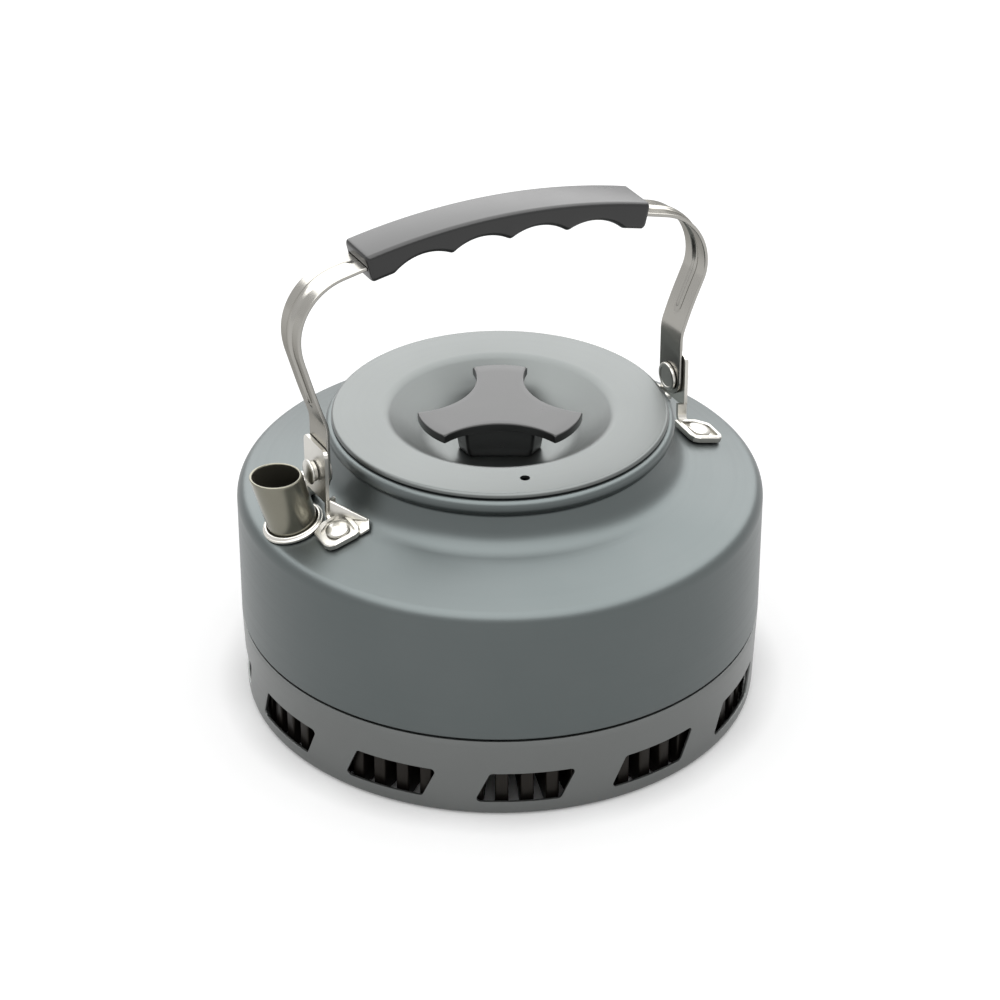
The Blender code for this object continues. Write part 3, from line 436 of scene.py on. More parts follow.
# A sheet's profile turned about the axis: rolled bead, neck, conical top, wall, spigot and base.
# The neck leans outwards from under the bead down to the cone. It drops by its height over the
# cone, divided by one less the lean times the cone's slope, as the cone falls away under it.
def makeVessel():
    half = bodySheet / 2
    neck = vessel["neckRadius"]
    bead = (neck, coneHeight(neck) + vessel["neckHeight"])
    roll = vessel["beadRoll"]
    tilt = half / cos(topSlope)
    neckTop = bead[1] - vessel["beadNeck"]
    lean = tan(vessel["neckLean"])
    drop = (neckTop - coneHeight(neck - half) + tilt) / (1 - lean * tan(topSlope))
    rest = roundedPath([
        (neck - roll, bead[1] - vessel["beadBelly"], 0.0),
        (neck - roll, bead[1] + roll, vessel["beadInner"]),
        (neck + roll, bead[1] + roll, vessel["beadCrown"]),
        (neck + roll, bead[1] - vessel["beadBelly"], vessel["beadUnder"]),
        (neck - half, neckTop, vessel["beadUnder"]),
        (neck - half + drop * lean, neckTop - drop, vessel["neckFillet"]),
        (bodyRadius - half, shoulderHeight - tilt, vessel["shoulderRadius"] - half),
        (bodyRadius - half, seamHeight + vessel["seamStep"], vessel["seamRound"]),
        (vessel["spigot"] - half, seamHeight, 0.0),
        (vessel["spigot"] - half, baseHeight + half, vessel["baseCorner"] - half),
        (0.0, baseHeight + half, 0.0)])
    loop = sheetLoop(rest, bodySheet)
    loop[:, 0] = np.maximum(loop[:, 0], 0.0)
    shell = revolved("bodyShell", loop, vessel["segments"], bodyMetal)
    drill(shell, spout["radius"] + touchGap, spout["bore"], [spoutFrame])
    drill(shell, footRivet["shank"] + touchGap, footRivet["bore"], list(rivetFrames.values()))
    dress(shell, "kettle", "anodised_body", "body_shell")
    print("vessel made")


# Skirt with its sheared vents

vents = {"count": 12, "width": 27.5 * mm, "height": 11.1 * mm, "bottom": 5.3 * mm,
         "shear": 5.0 * mm, "corner": 1.3 * mm, "phase": radians(-113.0), "sheet": 0.9 * mm,
         "footCorner": 2.05 * mm, "lip": 4.6 * mm, "bandLow": 3.4 * mm, "bandHigh": 18.6 * mm,
         "edgeRound": 0.14 * mm, "edgeSegments": 2, "edgeAngle": 55.0, "arcPoints": 9,
         "sidePoints": 10, "topRows": 5, "footPoints": 9,
         "shares": (0.0, 0.05, 0.14, 0.3, 0.6, 1.0)}


# Corners of an upright band, each moved along by the shear times its height over the vent's
# middle, as a share of the vent's height.
def shearedCorners(halfWidth, low, high):
    middle = vents["bottom"] + vents["height"] / 2
    corners = np.array([(-halfWidth, low), (halfWidth, low), (halfWidth, high), (-halfWidth, high)])
    corners[:, 0] += vents["shear"] * (corners[:, 1] - middle) / vents["height"]
    return corners


# Radius of the skirt's outer face, which widens evenly from its foot to the seam.
def skirtRadius(height):
    return skirtFoot + (bodyRadius - skirtFoot) * height / seamHeight


# Each side's points, four sides in a row: half an arc, the straight and half the next arc.
def ventSides(edge):
    half = vents["arcPoints"] // 2
    arcs = edge.reshape(4, vents["arcPoints"], 2)
    share = np.linspace(0, 1, vents["sidePoints"] + 2)[1:-1, None]
    found = []
    for k in range(4):
        start, end = arcs[k, half:], arcs[(k + 1) % 4, :half]
        found.append(np.vstack([start, start[-1] + share * (end[0] - start[-1]), end]))
    return np.vstack(found)


# As many points for each side of the sector round a vent, evenly spaced.
def sectorSides(corners):
    count = 2 * (vents["arcPoints"] // 2) + 1 + vents["sidePoints"]
    share = np.linspace(0, 1, count, endpoint=False)[:, None]
    return np.vstack([corners[k] + share * (corners[(k + 1) % 4] - corners[k]) for k in range(4)])


# Rings run from each vent's edge out to its sector, as shares of the way, and are wrapped round
# the cone by arc length. The top band and the turned foot go on from the sectors' edges.
def makeSkirt():
    sector = 2 * pi * skirtFoot / vents["count"]
    low, high = vents["bandLow"], vents["bandHigh"]
    corners = shearedCorners(vents["width"] / 2, vents["bottom"],
                             vents["bottom"] + vents["height"])
    inner = ventSides(roundedLoop(np.column_stack([corners, np.full(4, vents["corner"])]),
                                  vents["arcPoints"]))
    outer = sectorSides(shearedCorners(sector / 2, low, high))
    shares = np.array(vents["shares"])[:, None, None]
    rings = inner + shares * (outer - inner)
    grids = []
    for k in range(vents["count"]):
        bearing = vents["phase"] + (rings[..., 0] + k * sector) / skirtFoot
        spots = around(skirtRadius(rings[..., 1]), rings[..., 1], bearing)
        grids.append((spots, gridFaces(len(shares), len(inner), False, True)))
    count = len(inner) // 4
    rounds = np.arange(vents["count"])[:, None] * sector
    columns = vents["count"] * count
    rows = np.linspace(high, skirtTop, vents["topRows"])[:, None]
    bearing = vents["phase"] + (rounds + outer[2 * count:3 * count, 0][::-1]).reshape(-1) / skirtFoot
    grids.append((around(skirtRadius(rows), rows, bearing),
                  gridFaces(len(rows), columns, False, True)))
    bearing = vents["phase"] + (rounds + outer[:count, 0]).reshape(-1) / skirtFoot
    corner = vents["footCorner"]
    path = [(skirtRadius(low), low)]
    path += [(skirtFoot - corner * (1 - cos(turn)), corner * (1 - sin(turn)))
             for turn in np.linspace(0, pi / 2, vents["footPoints"])]
    path.append((skirtFoot - vents["lip"], 0.0))
    path = np.array(path)
    grids.append((around(path[:, :1], path[:, 1:], bearing),
                  gridFaces(len(path), columns, False, True)))
    skirt = newPiece("ventedSkirt", grids, skirtMetalPaintedReflection)
    sheet = skirt.modifiers.new("sheet", "SOLIDIFY")
    sheet.thickness = vents["sheet"]
    sheet.offset = -1.0
    sheet.use_even_offset = True
    softenEdges(skirt, vents["edgeRound"], vents["edgeSegments"], vents["edgeAngle"])
    settle(skirt)
    dress(skirt, "kettle", "anodised_body", "vented_skirt")
    print("skirt made")


# Pleated fins

fins = {"count": 64, "sheet": 0.4 * mm, "depth": 20.1 * mm, "bend": 0.96, "low": 1.2 * mm,
        "outer": 82.35 * mm, "round": 0.5 * mm, "foldStep": radians(24.0), "sharp": 40.0}


# One strip folded out and in round the base: four corners a pleat, two at the outer radius and
# two at the inner. The rounded middle line is moved half the sheet to each side and drawn up.
def makeFins():
    high = baseHeight - touchGap
    pitch = 2 * pi / fins["count"]
    closedEnd = fins["bend"] * pitch / 4
    inner = fins["outer"] - fins["depth"]
    turn = np.array([-closedEnd, closedEnd, pitch / 2 - closedEnd, pitch / 2 + closedEnd])
    folds = around([fins["outer"], fins["outer"], inner, inner], fins["round"],
                   np.arange(fins["count"])[:, None] * pitch + turn)
    path = roundedPath(folds.reshape(-1, 3), closed=True, step=fins["foldStep"])
    run = np.roll(path, -1, 0) - np.roll(path, 1, 0)
    run /= np.linalg.norm(run, axis=1)[:, None]
    side = np.stack([run[:, 1], -run[:, 0]], 1) * fins["sheet"] / 2
    rows = [(path + side, fins["low"]), (path + side, high), (path - side, high),
            (path - side, fins["low"])]
    spots = np.stack([np.column_stack([flat, np.full(len(flat), z)]) for flat, z in rows])
    strip = newPiece("pleatedFins", [(spots, gridFaces(len(rows), len(path)))], finMetalPaintedShade,
                     fins["sharp"])
    dress(strip, "kettle", "fin_aluminium", "heat_exchanger_fins")
    print("fins made")


# Lid and plug ring

lid = {"sheet": 1.0 * mm, "edge": 1.0 * mm, "dishRadius": 37.2 * mm, "slopeRun": 15.0 * mm,
       "depth": 12.3 * mm, "floorRound": 14.0 * mm, "edgeRound": 4.5 * mm, "screwHole": 2.3 * mm,
       "steamHole": 1.6 * mm, "steamInset": 9.7 * mm, "steamBearing": radians(-108.5),
       "steamBore": 4.0 * mm, "plugSheet": 0.8 * mm, "plugDepth": 10.0 * mm, "plugFit": 0.4 * mm,
       "plugFlange": 3.4 * mm, "plugRound": 1.2 * mm, "segments": 256, "plugSegments": 192}


# Two sheet profiles turned about the axis. The lid's has a dished middle, a flat annulus and a
# short turned-down rim, and the plug's is an angle that hangs in the neck.
def makeLid():
    half = lid["sheet"] / 2
    floor = lidTop - lid["depth"] - half
    path = roundedPath([
        (lid["screwHole"], floor, 0.0),
        (lid["dishRadius"] - lid["slopeRun"], floor, lid["floorRound"]),
        (lid["dishRadius"], lidTop - half, lid["edgeRound"]),
        (lidRadius - half, lidTop - half, lid["edge"]),
        (lidRadius - half, lidSeat + half, 0.0)])
    pan = revolved("lidPan", sheetLoop(path, lid["sheet"]), lid["segments"], lidMetal)
    distance = lidRadius - lid["steamInset"]
    place = Matrix.Translation((distance * cos(lid["steamBearing"]),
                                distance * sin(lid["steamBearing"]), lidTop))
    drill(pan, lid["steamHole"], lid["steamBore"], [place])
    dress(pan, "lid", "anodised_lid", "lid_pan")
    half = lid["plugSheet"] / 2
    outer = vessel["neckRadius"] - vessel["beadRoll"] - bodySheet / 2 - lid["plugFit"] - half
    top = lidTop - lid["sheet"] - touchGap - half
    path = roundedPath([(outer - lid["plugFlange"], top, 0.0), (outer, top, lid["plugRound"]),
                        (outer, top - lid["plugDepth"], 0.0)])
    plug = revolved("lidPlugRing", sheetLoop(path, lid["plugSheet"]), lid["plugSegments"],
                    lidMetal)
    dress(plug, "lid", "anodised_lid", "lid_plug_ring")
    print("lid made")


# Three-lobed knob

knob = {"tipRadius": 27.2 * mm, "crown": 0.2 * mm, "cornerAngle": radians(19.5), "edge": 2.9 * mm,
        "edgeRound": 0.5 * mm, "lowShare": 0.5, "topSteps": 7, "lowSteps": 5, "rim": 1.8 * mm,
        "hollow": 1.4 * mm, "waist": 12.6 * mm, "hubFlat": 9.9 * mm, "hubHalf": 10.0 * mm,
        "hubCorner": 1.8 * mm, "hubArc": 24, "flare": 1.13, "turn": radians(61.5),
        "cornerRound": 1.0 * mm, "boreDepth": 7.6 * mm, "bore": 2.3 * mm,
        "topShares": (0, 0.3, 0.6, 0.85), "topInset": 0.96,
        "camber": 0.02 * mm, "hubShares": (1.0, 0.75, 0.5, 0.25, 0.02), "hubFoot": 0.985,
        "rimGap": 0.1 * mm, "rimDraft": 0.05 * mm, "samples": 7200, "columns": 360, "sharp": 50.0}


# Distance to the outline at each bearing: a lobe's end, an arc that bulges out, or the side
# beside it, an arc that is hollow, blended over a short way where the two cross.
def lobeRadius(bearing, inset=0.0):
    far = 1.0    # a metre, where no side is
    cornerRadius = knob["tipRadius"] - knob["crown"]
    cornerX = cornerRadius * sin(pi / 3 - knob["cornerAngle"])
    rise = cornerRadius * cos(pi / 3 - knob["cornerAngle"]) - knob["waist"]
    sideRadius = (cornerX ** 2 + rise ** 2) / (2 * rise)
    halfEnd = cornerRadius * sin(knob["cornerAngle"])
    endRise = knob["tipRadius"] - cornerRadius * cos(knob["cornerAngle"])
    endRadius = (halfEnd ** 2 + endRise ** 2) / (2 * endRise)
    fromLobe = np.abs((bearing + pi / 3) % (2 * pi / 3) - pi / 3)
    fromSide = pi / 3 - fromLobe
    centre = knob["tipRadius"] - endRadius
    end = centre * np.cos(fromLobe) + np.sqrt(
        np.maximum((endRadius - inset) ** 2 - (centre * np.sin(fromLobe)) ** 2, 0))
    centre = knob["waist"] + sideRadius
    under = (sideRadius + inset) ** 2 - (centre * np.sin(fromSide)) ** 2
    side = centre * np.cos(fromSide) - np.sqrt(np.maximum(under, 0))
    side = np.where(under > 0, side, far)
    blend = knob["cornerRound"]
    mixed = np.clip(0.5 + 0.5 * (side - end) / blend, 0, 1)
    return side * (1 - mixed) + end * mixed - 0.5 * blend * mixed * (1 - mixed)


# Distance to the hub's outline, a triangle with its corners cut flat and rounded.
def hubOutline(bearing):
    corners = []
    for k in range(3):
        flat = pi / 3 + 2 * pi * k / 3
        for side in (-1, 1):
            x, y = knob["hubFlat"], side * knob["hubHalf"]
            corners.append((x * cos(flat) - y * sin(flat), x * sin(flat) + y * cos(flat),
                            knob["hubCorner"]))
    hub = roundedLoop(corners, knob["hubArc"])
    order = np.argsort(np.arctan2(hub[:, 1], hub[:, 0]) % (2 * pi))
    dense = np.linspace(hub[order], hub[np.roll(order, -1)], knob["hubArc"], endpoint=False,
                        axis=1).reshape(-1, 2)
    return np.interp(bearing, np.unwrap(np.arctan2(dense[:, 1], dense[:, 0]) % (2 * pi)),
                     np.hypot(dense[:, 0], dense[:, 1]), period=2 * pi)


# Rings from the middle of the top over the edge, under the rim and down the hub to its bore. The
# bearings are spaced evenly by the outline's length, so that the lobes' corners are as fine.
def makeKnob():
    fine = np.linspace(0, 2 * pi, knob["samples"], endpoint=False)
    reach = lobeRadius(fine)
    steps = np.hypot(np.diff(reach, append=reach[0]), reach * (fine[1] - fine[0]))
    share = np.cumsum(steps) / steps.sum()
    bearing = np.interp(np.linspace(0, 1, knob["columns"], endpoint=False), share, fine)
    hub = hubOutline(bearing)
    top = knobTop
    low = top - knob["edge"]
    roof = low + knob["hollow"]
    foot = lidTop - lid["depth"] + touchGap
    bore, soft = knob["bore"], knob["edgeRound"]
    whole = lobeRadius(bearing)
    rings = [(whole * share * knob["topInset"], top + knob["camber"] * (1 - share))
             for share in knob["topShares"]]
    for turn in np.linspace(pi / 2, 0, knob["topSteps"]):
        rings.append((lobeRadius(bearing, soft * (1 - cos(turn))), top - soft * (1 - sin(turn))))
    soft = knob["lowShare"] * soft
    for turn in np.linspace(0, -pi / 2, knob["lowSteps"]):
        rings.append((lobeRadius(bearing, soft * (1 - cos(turn))), low + soft * (1 + sin(turn))))
    inner = np.maximum(lobeRadius(bearing, knob["rim"]), hub * knob["flare"] + knob["rimGap"])
    rings += [(inner, low), (inner - knob["rimDraft"], roof)]
    rings += [(hub * (1 + (knob["flare"] - 1) * part), foot + (roof - foot) * part)
              for part in knob["hubShares"]]
    rings += [(hub * knob["hubFoot"], foot), (bore, foot), (bore, foot + knob["boreDepth"]),
              (0.0, foot + knob["boreDepth"])]
    spots = np.stack([around(radius, height, bearing + knob["turn"]) for radius, height in rings])
    piece = newPiece("knobCap", [(spots, gridFaces(len(rings), len(bearing), False))],
                     blackPlastic, knob["sharp"])
    dress(piece, "lid", "black_plastic", "knob")
    print("knob made")


# Spout tube and its collar

# A tube square to the conical top, its mouth cut level: at each bearing its side is as long as
# the way up to the mouth's height, more downhill by the radius times the slope. The rim is round.
def makeSpout():
    outer, wall = spout["radius"], spout["wall"]
    turn = np.linspace(0, 2 * pi, spout["segments"], endpoint=False)
    half = wall / 2
    base = coneHeight(spout["distance"])
    tilt = tan(topSlope)

    def mouth(radius):
        return (spoutMouth - half - base) / cos(topSlope) + radius * np.cos(turn) * tilt

    low = -bodySheet - slopeGap
    foot, flange = low - spout["flange"], outer + spout["flange"]
    rings = [(outer - wall, foot), (flange, foot), (flange, low), (outer, low)]
    rings += [(outer, share * mouth(outer)) for share in spout["shares"]]
    for a in np.linspace(0, pi, spout["rimSteps"]):
        radius = outer - half + half * cos(a)
        rings.append((radius, mouth(radius) + half * sin(a) / cos(topSlope)))
    rings += [(outer - wall, share * mouth(outer - wall)) for share in spout["shares"][::-1]]
    spots = np.stack([around(radius, height, turn) for radius, height in rings])
    tube = newPiece("spoutTube", [(spots, gridFaces(len(rings), len(turn)))], spoutSteel)
    tube.data.transform(spoutFrame)
    dress(tube, "kettle", "stainless", "spout_tube")
    start, foot = outer + touchGap, touchGap
    width, crown = spout["collarWidth"], spout["collarWidth"] * spout["crownShare"]
    shoulder = touchGap + spout["collarHeight"] - crown
    corner = spout["footRound"]
    loop = [(start, foot), (start, shoulder)]
    loop += arc((start + crown, shoulder), crown, pi, spout["crownEnd"],
                spout["crownSteps"]).tolist()[1:]
    loop += arc((start + width - corner, foot + spout["footRise"]), corner, pi / 2, 0,
                spout["footSteps"]).tolist()
    loop.append((start + width, foot))
    collar = revolved("spoutCollar", loop, spout["segments"], pressedSteel, spoutFrame,
                      spout["sharp"])
    dress(collar, "kettle", "stainless", "spout_collar")
    print("spout made")


# Rivets and bushes

pivots = {"shank": 2.1 * mm, "head": 4.8 * mm, "headHeight": 1.0 * mm, "chamfer": 0.35 * mm,
          "chamferIn": 0.12 * mm, "chamferUp": 0.1 * mm, "dimple": 1.1 * mm,
          "dimpleFloor": 1.3 * mm, "dimpleDepth": 0.2 * mm, "dimpleMiddle": 0.22 * mm,
          "outerHead": 4.1 * mm, "outerHeight": 1.1 * mm, "outerSeat": 68.513 * mm,
          "innerSeat": 63.513 * mm, "edge": 0.2 * mm, "bush": 3.4 * mm,
          "bushStart": 66.813 * mm, "bushLength": 1.4 * mm, "domeSteps": 12, "segments": 64,
          "sharp": 30.0}


# Outline of a dome, a quarter of an ellipse from its top on the axis out to its edge.
def domeOutline(radius, rise, foot, steps):
    dome = arc((0.0, 0.0), 1.0, pi / 2, 0.0, steps) * (radius, rise)
    dome[0, 0] = 0.0
    return (dome + (0.0, foot)).tolist()


# Turned outlines: domed foot rivets square to the conical top, and on the bail's line the pivot
# rivets with a dome outside and a dimpled flat head inside, and their bushes.
def makeRivets():
    seat = 2 * touchGap + bracketSheet
    under = -bodySheet - slopeGap
    head, edge = footRivet["head"], footRivet["edge"]
    shank, tail, chamfer = footRivet["shank"], footRivet["tail"], footRivet["tailChamfer"]
    end = under - footRivet["tailHeight"]
    loop = domeOutline(head, footRivet["height"] - edge, seat + edge, footRivet["domeSteps"])
    loop += [(head - footRivet["edgeDraft"], seat), (shank, seat), (shank, under), (tail, under),
             (tail, under - chamfer), (tail - chamfer, end), (0.0, end)]
    for name, place in rivetFrames.items():
        words = name.split("_")
        rivet = revolved("footRivet" + words[2].title() + words[3].title(), loop,
                         footRivet["segments"], pressedSteel, place)
        dress(rivet, "kettle", "stainless", name)
    outer, inner, edge = pivots["outerSeat"], pivots["innerSeat"], pivots["edge"]
    shank, head, wide = pivots["shank"], pivots["head"], pivots["outerHead"]
    face = inner - pivots["headHeight"]
    loop = domeOutline(wide, pivots["outerHeight"] - edge, outer + edge, pivots["domeSteps"])
    loop += [(wide, outer), (shank, outer), (shank, inner), (head, inner),
             (head, face + pivots["chamfer"]),
             (head - pivots["chamferIn"], face + pivots["chamferUp"]),
             (head - pivots["chamfer"], face), (head - pivots["dimple"], face),
             (head - pivots["dimpleFloor"], face + pivots["dimpleDepth"]),
             (0.0, face + pivots["dimpleMiddle"])]
    start, end = pivots["bushStart"], pivots["bushStart"] + pivots["bushLength"]
    bore, bush = shank + touchGap, pivots["bush"]
    ring = [(bore, start), (bore, end), (bush - edge, end), (bush, end - edge),
            (bush, start + edge), (bush - edge, start)]
    outward = Matrix.Translation((0, 0, pivotHeight)) @ Matrix.Rotation(pi / 2, 4, "Y")
    for word, turned in (("rear", Matrix.Identity(4)), ("spout", halfTurn)):
        for kind, outline in (("Rivet", loop), ("Bush", ring)):
            piece = revolved(f"pivot{kind}{word.title()}", outline, pivots["segments"],
                             pressedSteel, turned @ outward, pivots["sharp"])
            dress(piece, "kettle", "stainless", f"pivot_{kind.lower()}_{word}")
    print("rivets made")


# Gusset between the spout side's ear and its front wing, which the solids lack. Its top stays
# low enough for the bail to swing past it.

gusset = {"sheet": 1.0 * mm, "edge": 0.35 * mm, "edgeSegments": 3, "edgeAngle": 40.0,
          "foot": 1.2 * mm, "ear": (-65.0 * mm, -7.4 * mm), "earTop": 88.2 * mm,
          "corner": (-56.9 * mm, -18.2 * mm), "cornerRise": 2.6 * mm, "sharp": 30.0,
          "plate": ((-62.8, -9.2, 1.5), (-56.7, -18.4, 2.4), (-58.2, -21.4, 1.7),
                    (-61.4, -21.4, 1.5))}    # x, y and rise over the cone in mm


# A closed plate: one outline, the same outline moved by the thickness, and faces between them.
def foldedPlate(name, low, high):
    rings = capped(np.stack([low, high]))
    plate = newPiece(name, [(rings, gridFaces(len(rings), len(low), False, True))], pressedSteel,
                     gusset["sharp"])
    softenEdges(plate, gusset["edge"], gusset["edgeSegments"], gusset["edgeAngle"])
    dress(settle(plate), "kettle", "stainless")


# The web's four corners stand on the cone and over it, at the ear and at the wing's corner. The
# wing's foot is a flat outline whose corners rise over the cone up to the web.
def makeGusset():
    ear, corner = np.array(gusset["ear"]), np.array(gusset["corner"])
    run = (corner - ear) / np.linalg.norm(corner - ear)
    cornerHeight = coneHeight(hypot(*corner))
    web = np.array([(*ear, coneHeight(hypot(*ear)) + touchGap), (*corner, cornerHeight),
                    (*corner, cornerHeight + gusset["cornerRise"]), (*ear, gusset["earTop"])])
    outward = np.array([run[1], -run[0], 0.0]) * gusset["sheet"]
    foldedPlate("spoutSideWeb", web + outward, web)
    top = np.array([(x * mm, y * mm, coneHeight(hypot(x, y) * mm) + rise * mm)
                    for x, y, rise in gusset["plate"]])
    foldedPlate("spoutSideFoot", top - np.array([0.0, 0.0, gusset["foot"]]), top)
    print("gusset made")


# Bail strap and grip

bail = {"distance": 64.413 * mm, "width": 12.5 * mm, "sheet": 1.2 * mm, "edge": 0.3 * mm,
        "bendRise": 17.4 * mm, "flare": radians(19.0), "bendRadius": 14.0 * mm,
        "shoulderRadius": 25.0 * mm, "depthInGrip": 4.6 * mm, "lean": radians(2.6),
        "leanRise": 5.0 * mm, "leanRun": 24.0 * mm, "ribHeight": 0.7 * mm, "ribWidth": 3.6 * mm,
        "ribCrown": 0.35, "ribRise": 8.0 * mm, "ribMargin": 3.0 * mm, "spacing": 1.2 * mm,
        "columns": 33, "archPoints": 41, "footPoints": 12, "footStart": 0.12, "pastFoot": 20,
        "lap": 1.0 * mm, "edgeSteps": 4,
        "bendStep": radians(3.0), "bore": 2.0 * mm, "sharp": 40.0}
grip = {"rise": 77.6 * mm, "length": 102.0 * mm, "width": 16.0 * mm, "crest": 9.4 * mm,
        "hollow": 3.0 * mm, "arch": 222.0 * mm, "fingers": 4, "pitch": 21.3 * mm,
        "topRound": 1.5 * mm, "lowRound": 2.0 * mm, "endRound": 1.3 * mm, "slotFit": 0.35 * mm,
        "slotPast": 3.0 * mm, "slotPoints": 61, "samples": 2401, "softened": 49, "reach": 0.6,
        "columns": 161, "endPoints": 8, "arcPoints": 9, "sharp": 45.0}
archCentre = pivotHeight + grip["rise"] - grip["arch"]
bendHeight = pivotHeight + bail["bendRise"]


# Shear the bail's upper part: a point drops by its x times the slope, eased in over a height,
# so that the spout side stands higher.
def leaned(spots):
    low = bendHeight + bail["leanRise"]
    share = smoothstep(spots[..., 2], low, low + bail["leanRun"])
    spots = spots.copy()
    spots[..., 2] -= spots[..., 0] * tan(bail["lean"]) * share
    return spots


# Middle line (x, z) of the strap. It rises from a foot, bends outwards, turns in at the knee,
# where the flared side meets the arch's end tangent, and follows the arch to the other foot.
def strapLine():
    radius = grip["arch"] - bail["depthInGrip"]
    endTurn = grip["length"] / 2 / grip["arch"]
    end = Vector((radius * sin(endTurn), archCentre + radius * cos(endTurn)))
    distance = bail["distance"]
    flare = Vector((sin(bail["flare"]), cos(bail["flare"])))
    gap = Vector((distance, bendHeight)) - end
    way = Vector((cos(endTurn), -sin(endTurn)))
    run = (gap.x * way.y - gap.y * way.x) / (way.x * flare.y - way.y * flare.x)
    knee = Vector((distance, bendHeight)) + flare * run
    half = bail["width"] / 2
    turn = np.linspace(bail["footStart"], pi / 2, bail["footPoints"])
    lower = np.column_stack([np.full(len(turn) + 1, distance), np.append(
        pivotHeight - half * np.cos(turn), pivotHeight + half)])
    side = roundedPath([(distance, pivotHeight + half + bail["lap"], 0.0),
                        (distance, bendHeight, bail["bendRadius"]),
                        (*knee, bail["shoulderRadius"]), (*end, 0.0)], step=bail["bendStep"])
    turn = np.linspace(endTurn, -endTurn, bail["archPoints"])[1:-1]
    arch = np.column_stack([radius * np.sin(turn), archCentre + radius * np.cos(turn)])
    side = np.vstack([lower, side])
    return np.vstack([side, arch, side[::-1] * (-1, 1)])


# The same line with each stretch cut into equal parts no longer than a spacing.
def densified(line, spacing):
    counts = np.maximum(1, np.ceil(np.hypot(*np.diff(line, axis=0).T) / spacing)).astype(int)
    start = np.repeat(np.arange(len(counts)), counts)
    part = np.arange(counts.sum()) - np.repeat(np.cumsum(counts) - counts, counts) + 1
    share = (part / counts[start])[:, None]
    return np.vstack([line[:1], line[start] + (line[start + 1] - line[start]) * share])


# A flat section with rounded edges, carried along the line and square to it. At a foot it
# narrows as a circle does, and the rib rises outwards by a smooth step of the distance from
# its own middle line, which runs from above the bend to short of the grip.
def makeStrap():
    line = densified(strapLine(), bail["spacing"])
    run = np.gradient(line, axis=0)
    run /= np.linalg.norm(run, axis=1)[:, None]
    out = np.stack([run[:, 1], -run[:, 0]], 1)
    half, thick, edge = bail["width"] / 2, bail["sheet"] / 2, bail["edge"]
    fromFoot = line[:, 1] - (pivotHeight - half)
    reach = np.where((fromFoot < half) & (np.abs(line[:, 0]) > bail["distance"] - bail["lap"]),
                     np.sqrt(np.maximum(half ** 2 - (half - fromFoot) ** 2, 0)), half)
    corner = arc((0, 0), edge, pi / 2, 0, bail["edgeSteps"])
    rise = corner[:, 1] + thick - edge
    flat = np.linspace(-1, 1, bail["columns"])[1:-1] * np.maximum(reach - edge, 0)[:, None]
    side = np.maximum(reach[:, None] + (corner[:, 0] - edge), 0)
    across = np.hstack([flat, side, side[:, ::-1], flat[:, ::-1], -side, -side[:, ::-1]])
    level = np.full(flat.shape[1], thick)
    height = np.concatenate([level, rise, -rise[::-1], -level, -rise, rise[::-1]])
    length = np.concatenate([[0], np.cumsum(np.linalg.norm(np.diff(line, axis=0), axis=1))])
    quarter = slice(0, len(line) // 4)
    ribFoot = np.interp(bendHeight + bail["ribRise"], line[quarter, 1], length[quarter])
    inward = slice(bail["pastFoot"], len(line) // 2)    # from above the foot to the middle
    gripEdge = np.interp(-grip["length"] / 2, -line[inward, 0], length[inward])
    fromEnd = np.minimum(length, length[-1] - length)
    past = np.maximum(ribFoot - fromEnd, 0)
    past = np.maximum(past, fromEnd - (gripEdge - bail["ribMargin"]))
    away = np.hypot(across, past[:, None])
    halfRib = bail["ribWidth"] / 2
    raised = bail["ribHeight"] * (1 - smoothstep(away, bail["ribCrown"] * halfRib, halfRib))
    height = height + raised
    spots = np.stack([line[:, :1] + out[:, :1] * height, across,
                      line[:, 1:] + out[:, 1:] * height], -1)
    spots = leaned(capped(spots))
    strap = newPiece("bailStrap", [(spots, gridFaces(*spots.shape[:2], False))], brightSteel,
                     bail["sharp"])
    along = Matrix.Translation((0, 0, pivotHeight)) @ Matrix.Rotation(pi / 2, 4, "Y")
    drill(strap, pivots["shank"] + touchGap, bail["bore"], [along, halfTurn @ along],
          bail["sharp"], bail["distance"])
    dress(strap, "bail", "stainless", "bail_strap")
    print("strap made")


# Depth of the grip below its top: the crest's less a circle's rise for each finger, averaged
# over a short window of the samples so that the crests are soft.
def gripDepth(along):
    fine = np.linspace(-grip["reach"], grip["reach"], grip["samples"]) * grip["length"]
    middles = (np.arange(grip["fingers"]) - (grip["fingers"] - 1) / 2) * grip["pitch"]
    nearest = np.abs(fine[:, None] - middles).min(1)
    half = grip["pitch"] / 2
    radius = (half ** 2 + grip["hollow"] ** 2) / (2 * grip["hollow"])
    dip = np.sqrt(np.maximum(radius ** 2 - nearest ** 2, 0)) - (radius - grip["hollow"])
    depth = grip["crest"] - np.where(nearest < half, dip, 0.0)
    window = np.hanning(grip["softened"])
    softened = np.convolve(depth, window / window.sum(), mode="same")
    return np.interp(along, fine, softened)


# Points (across, rise from the arch) of sections carried along the arch by its turn.
def alongArch(across, rise, turn):
    radius = grip["arch"] + rise
    return np.stack([radius * np.sin(turn)[:, None], across,
                     archCentre + radius * np.cos(turn)[:, None]], -1)


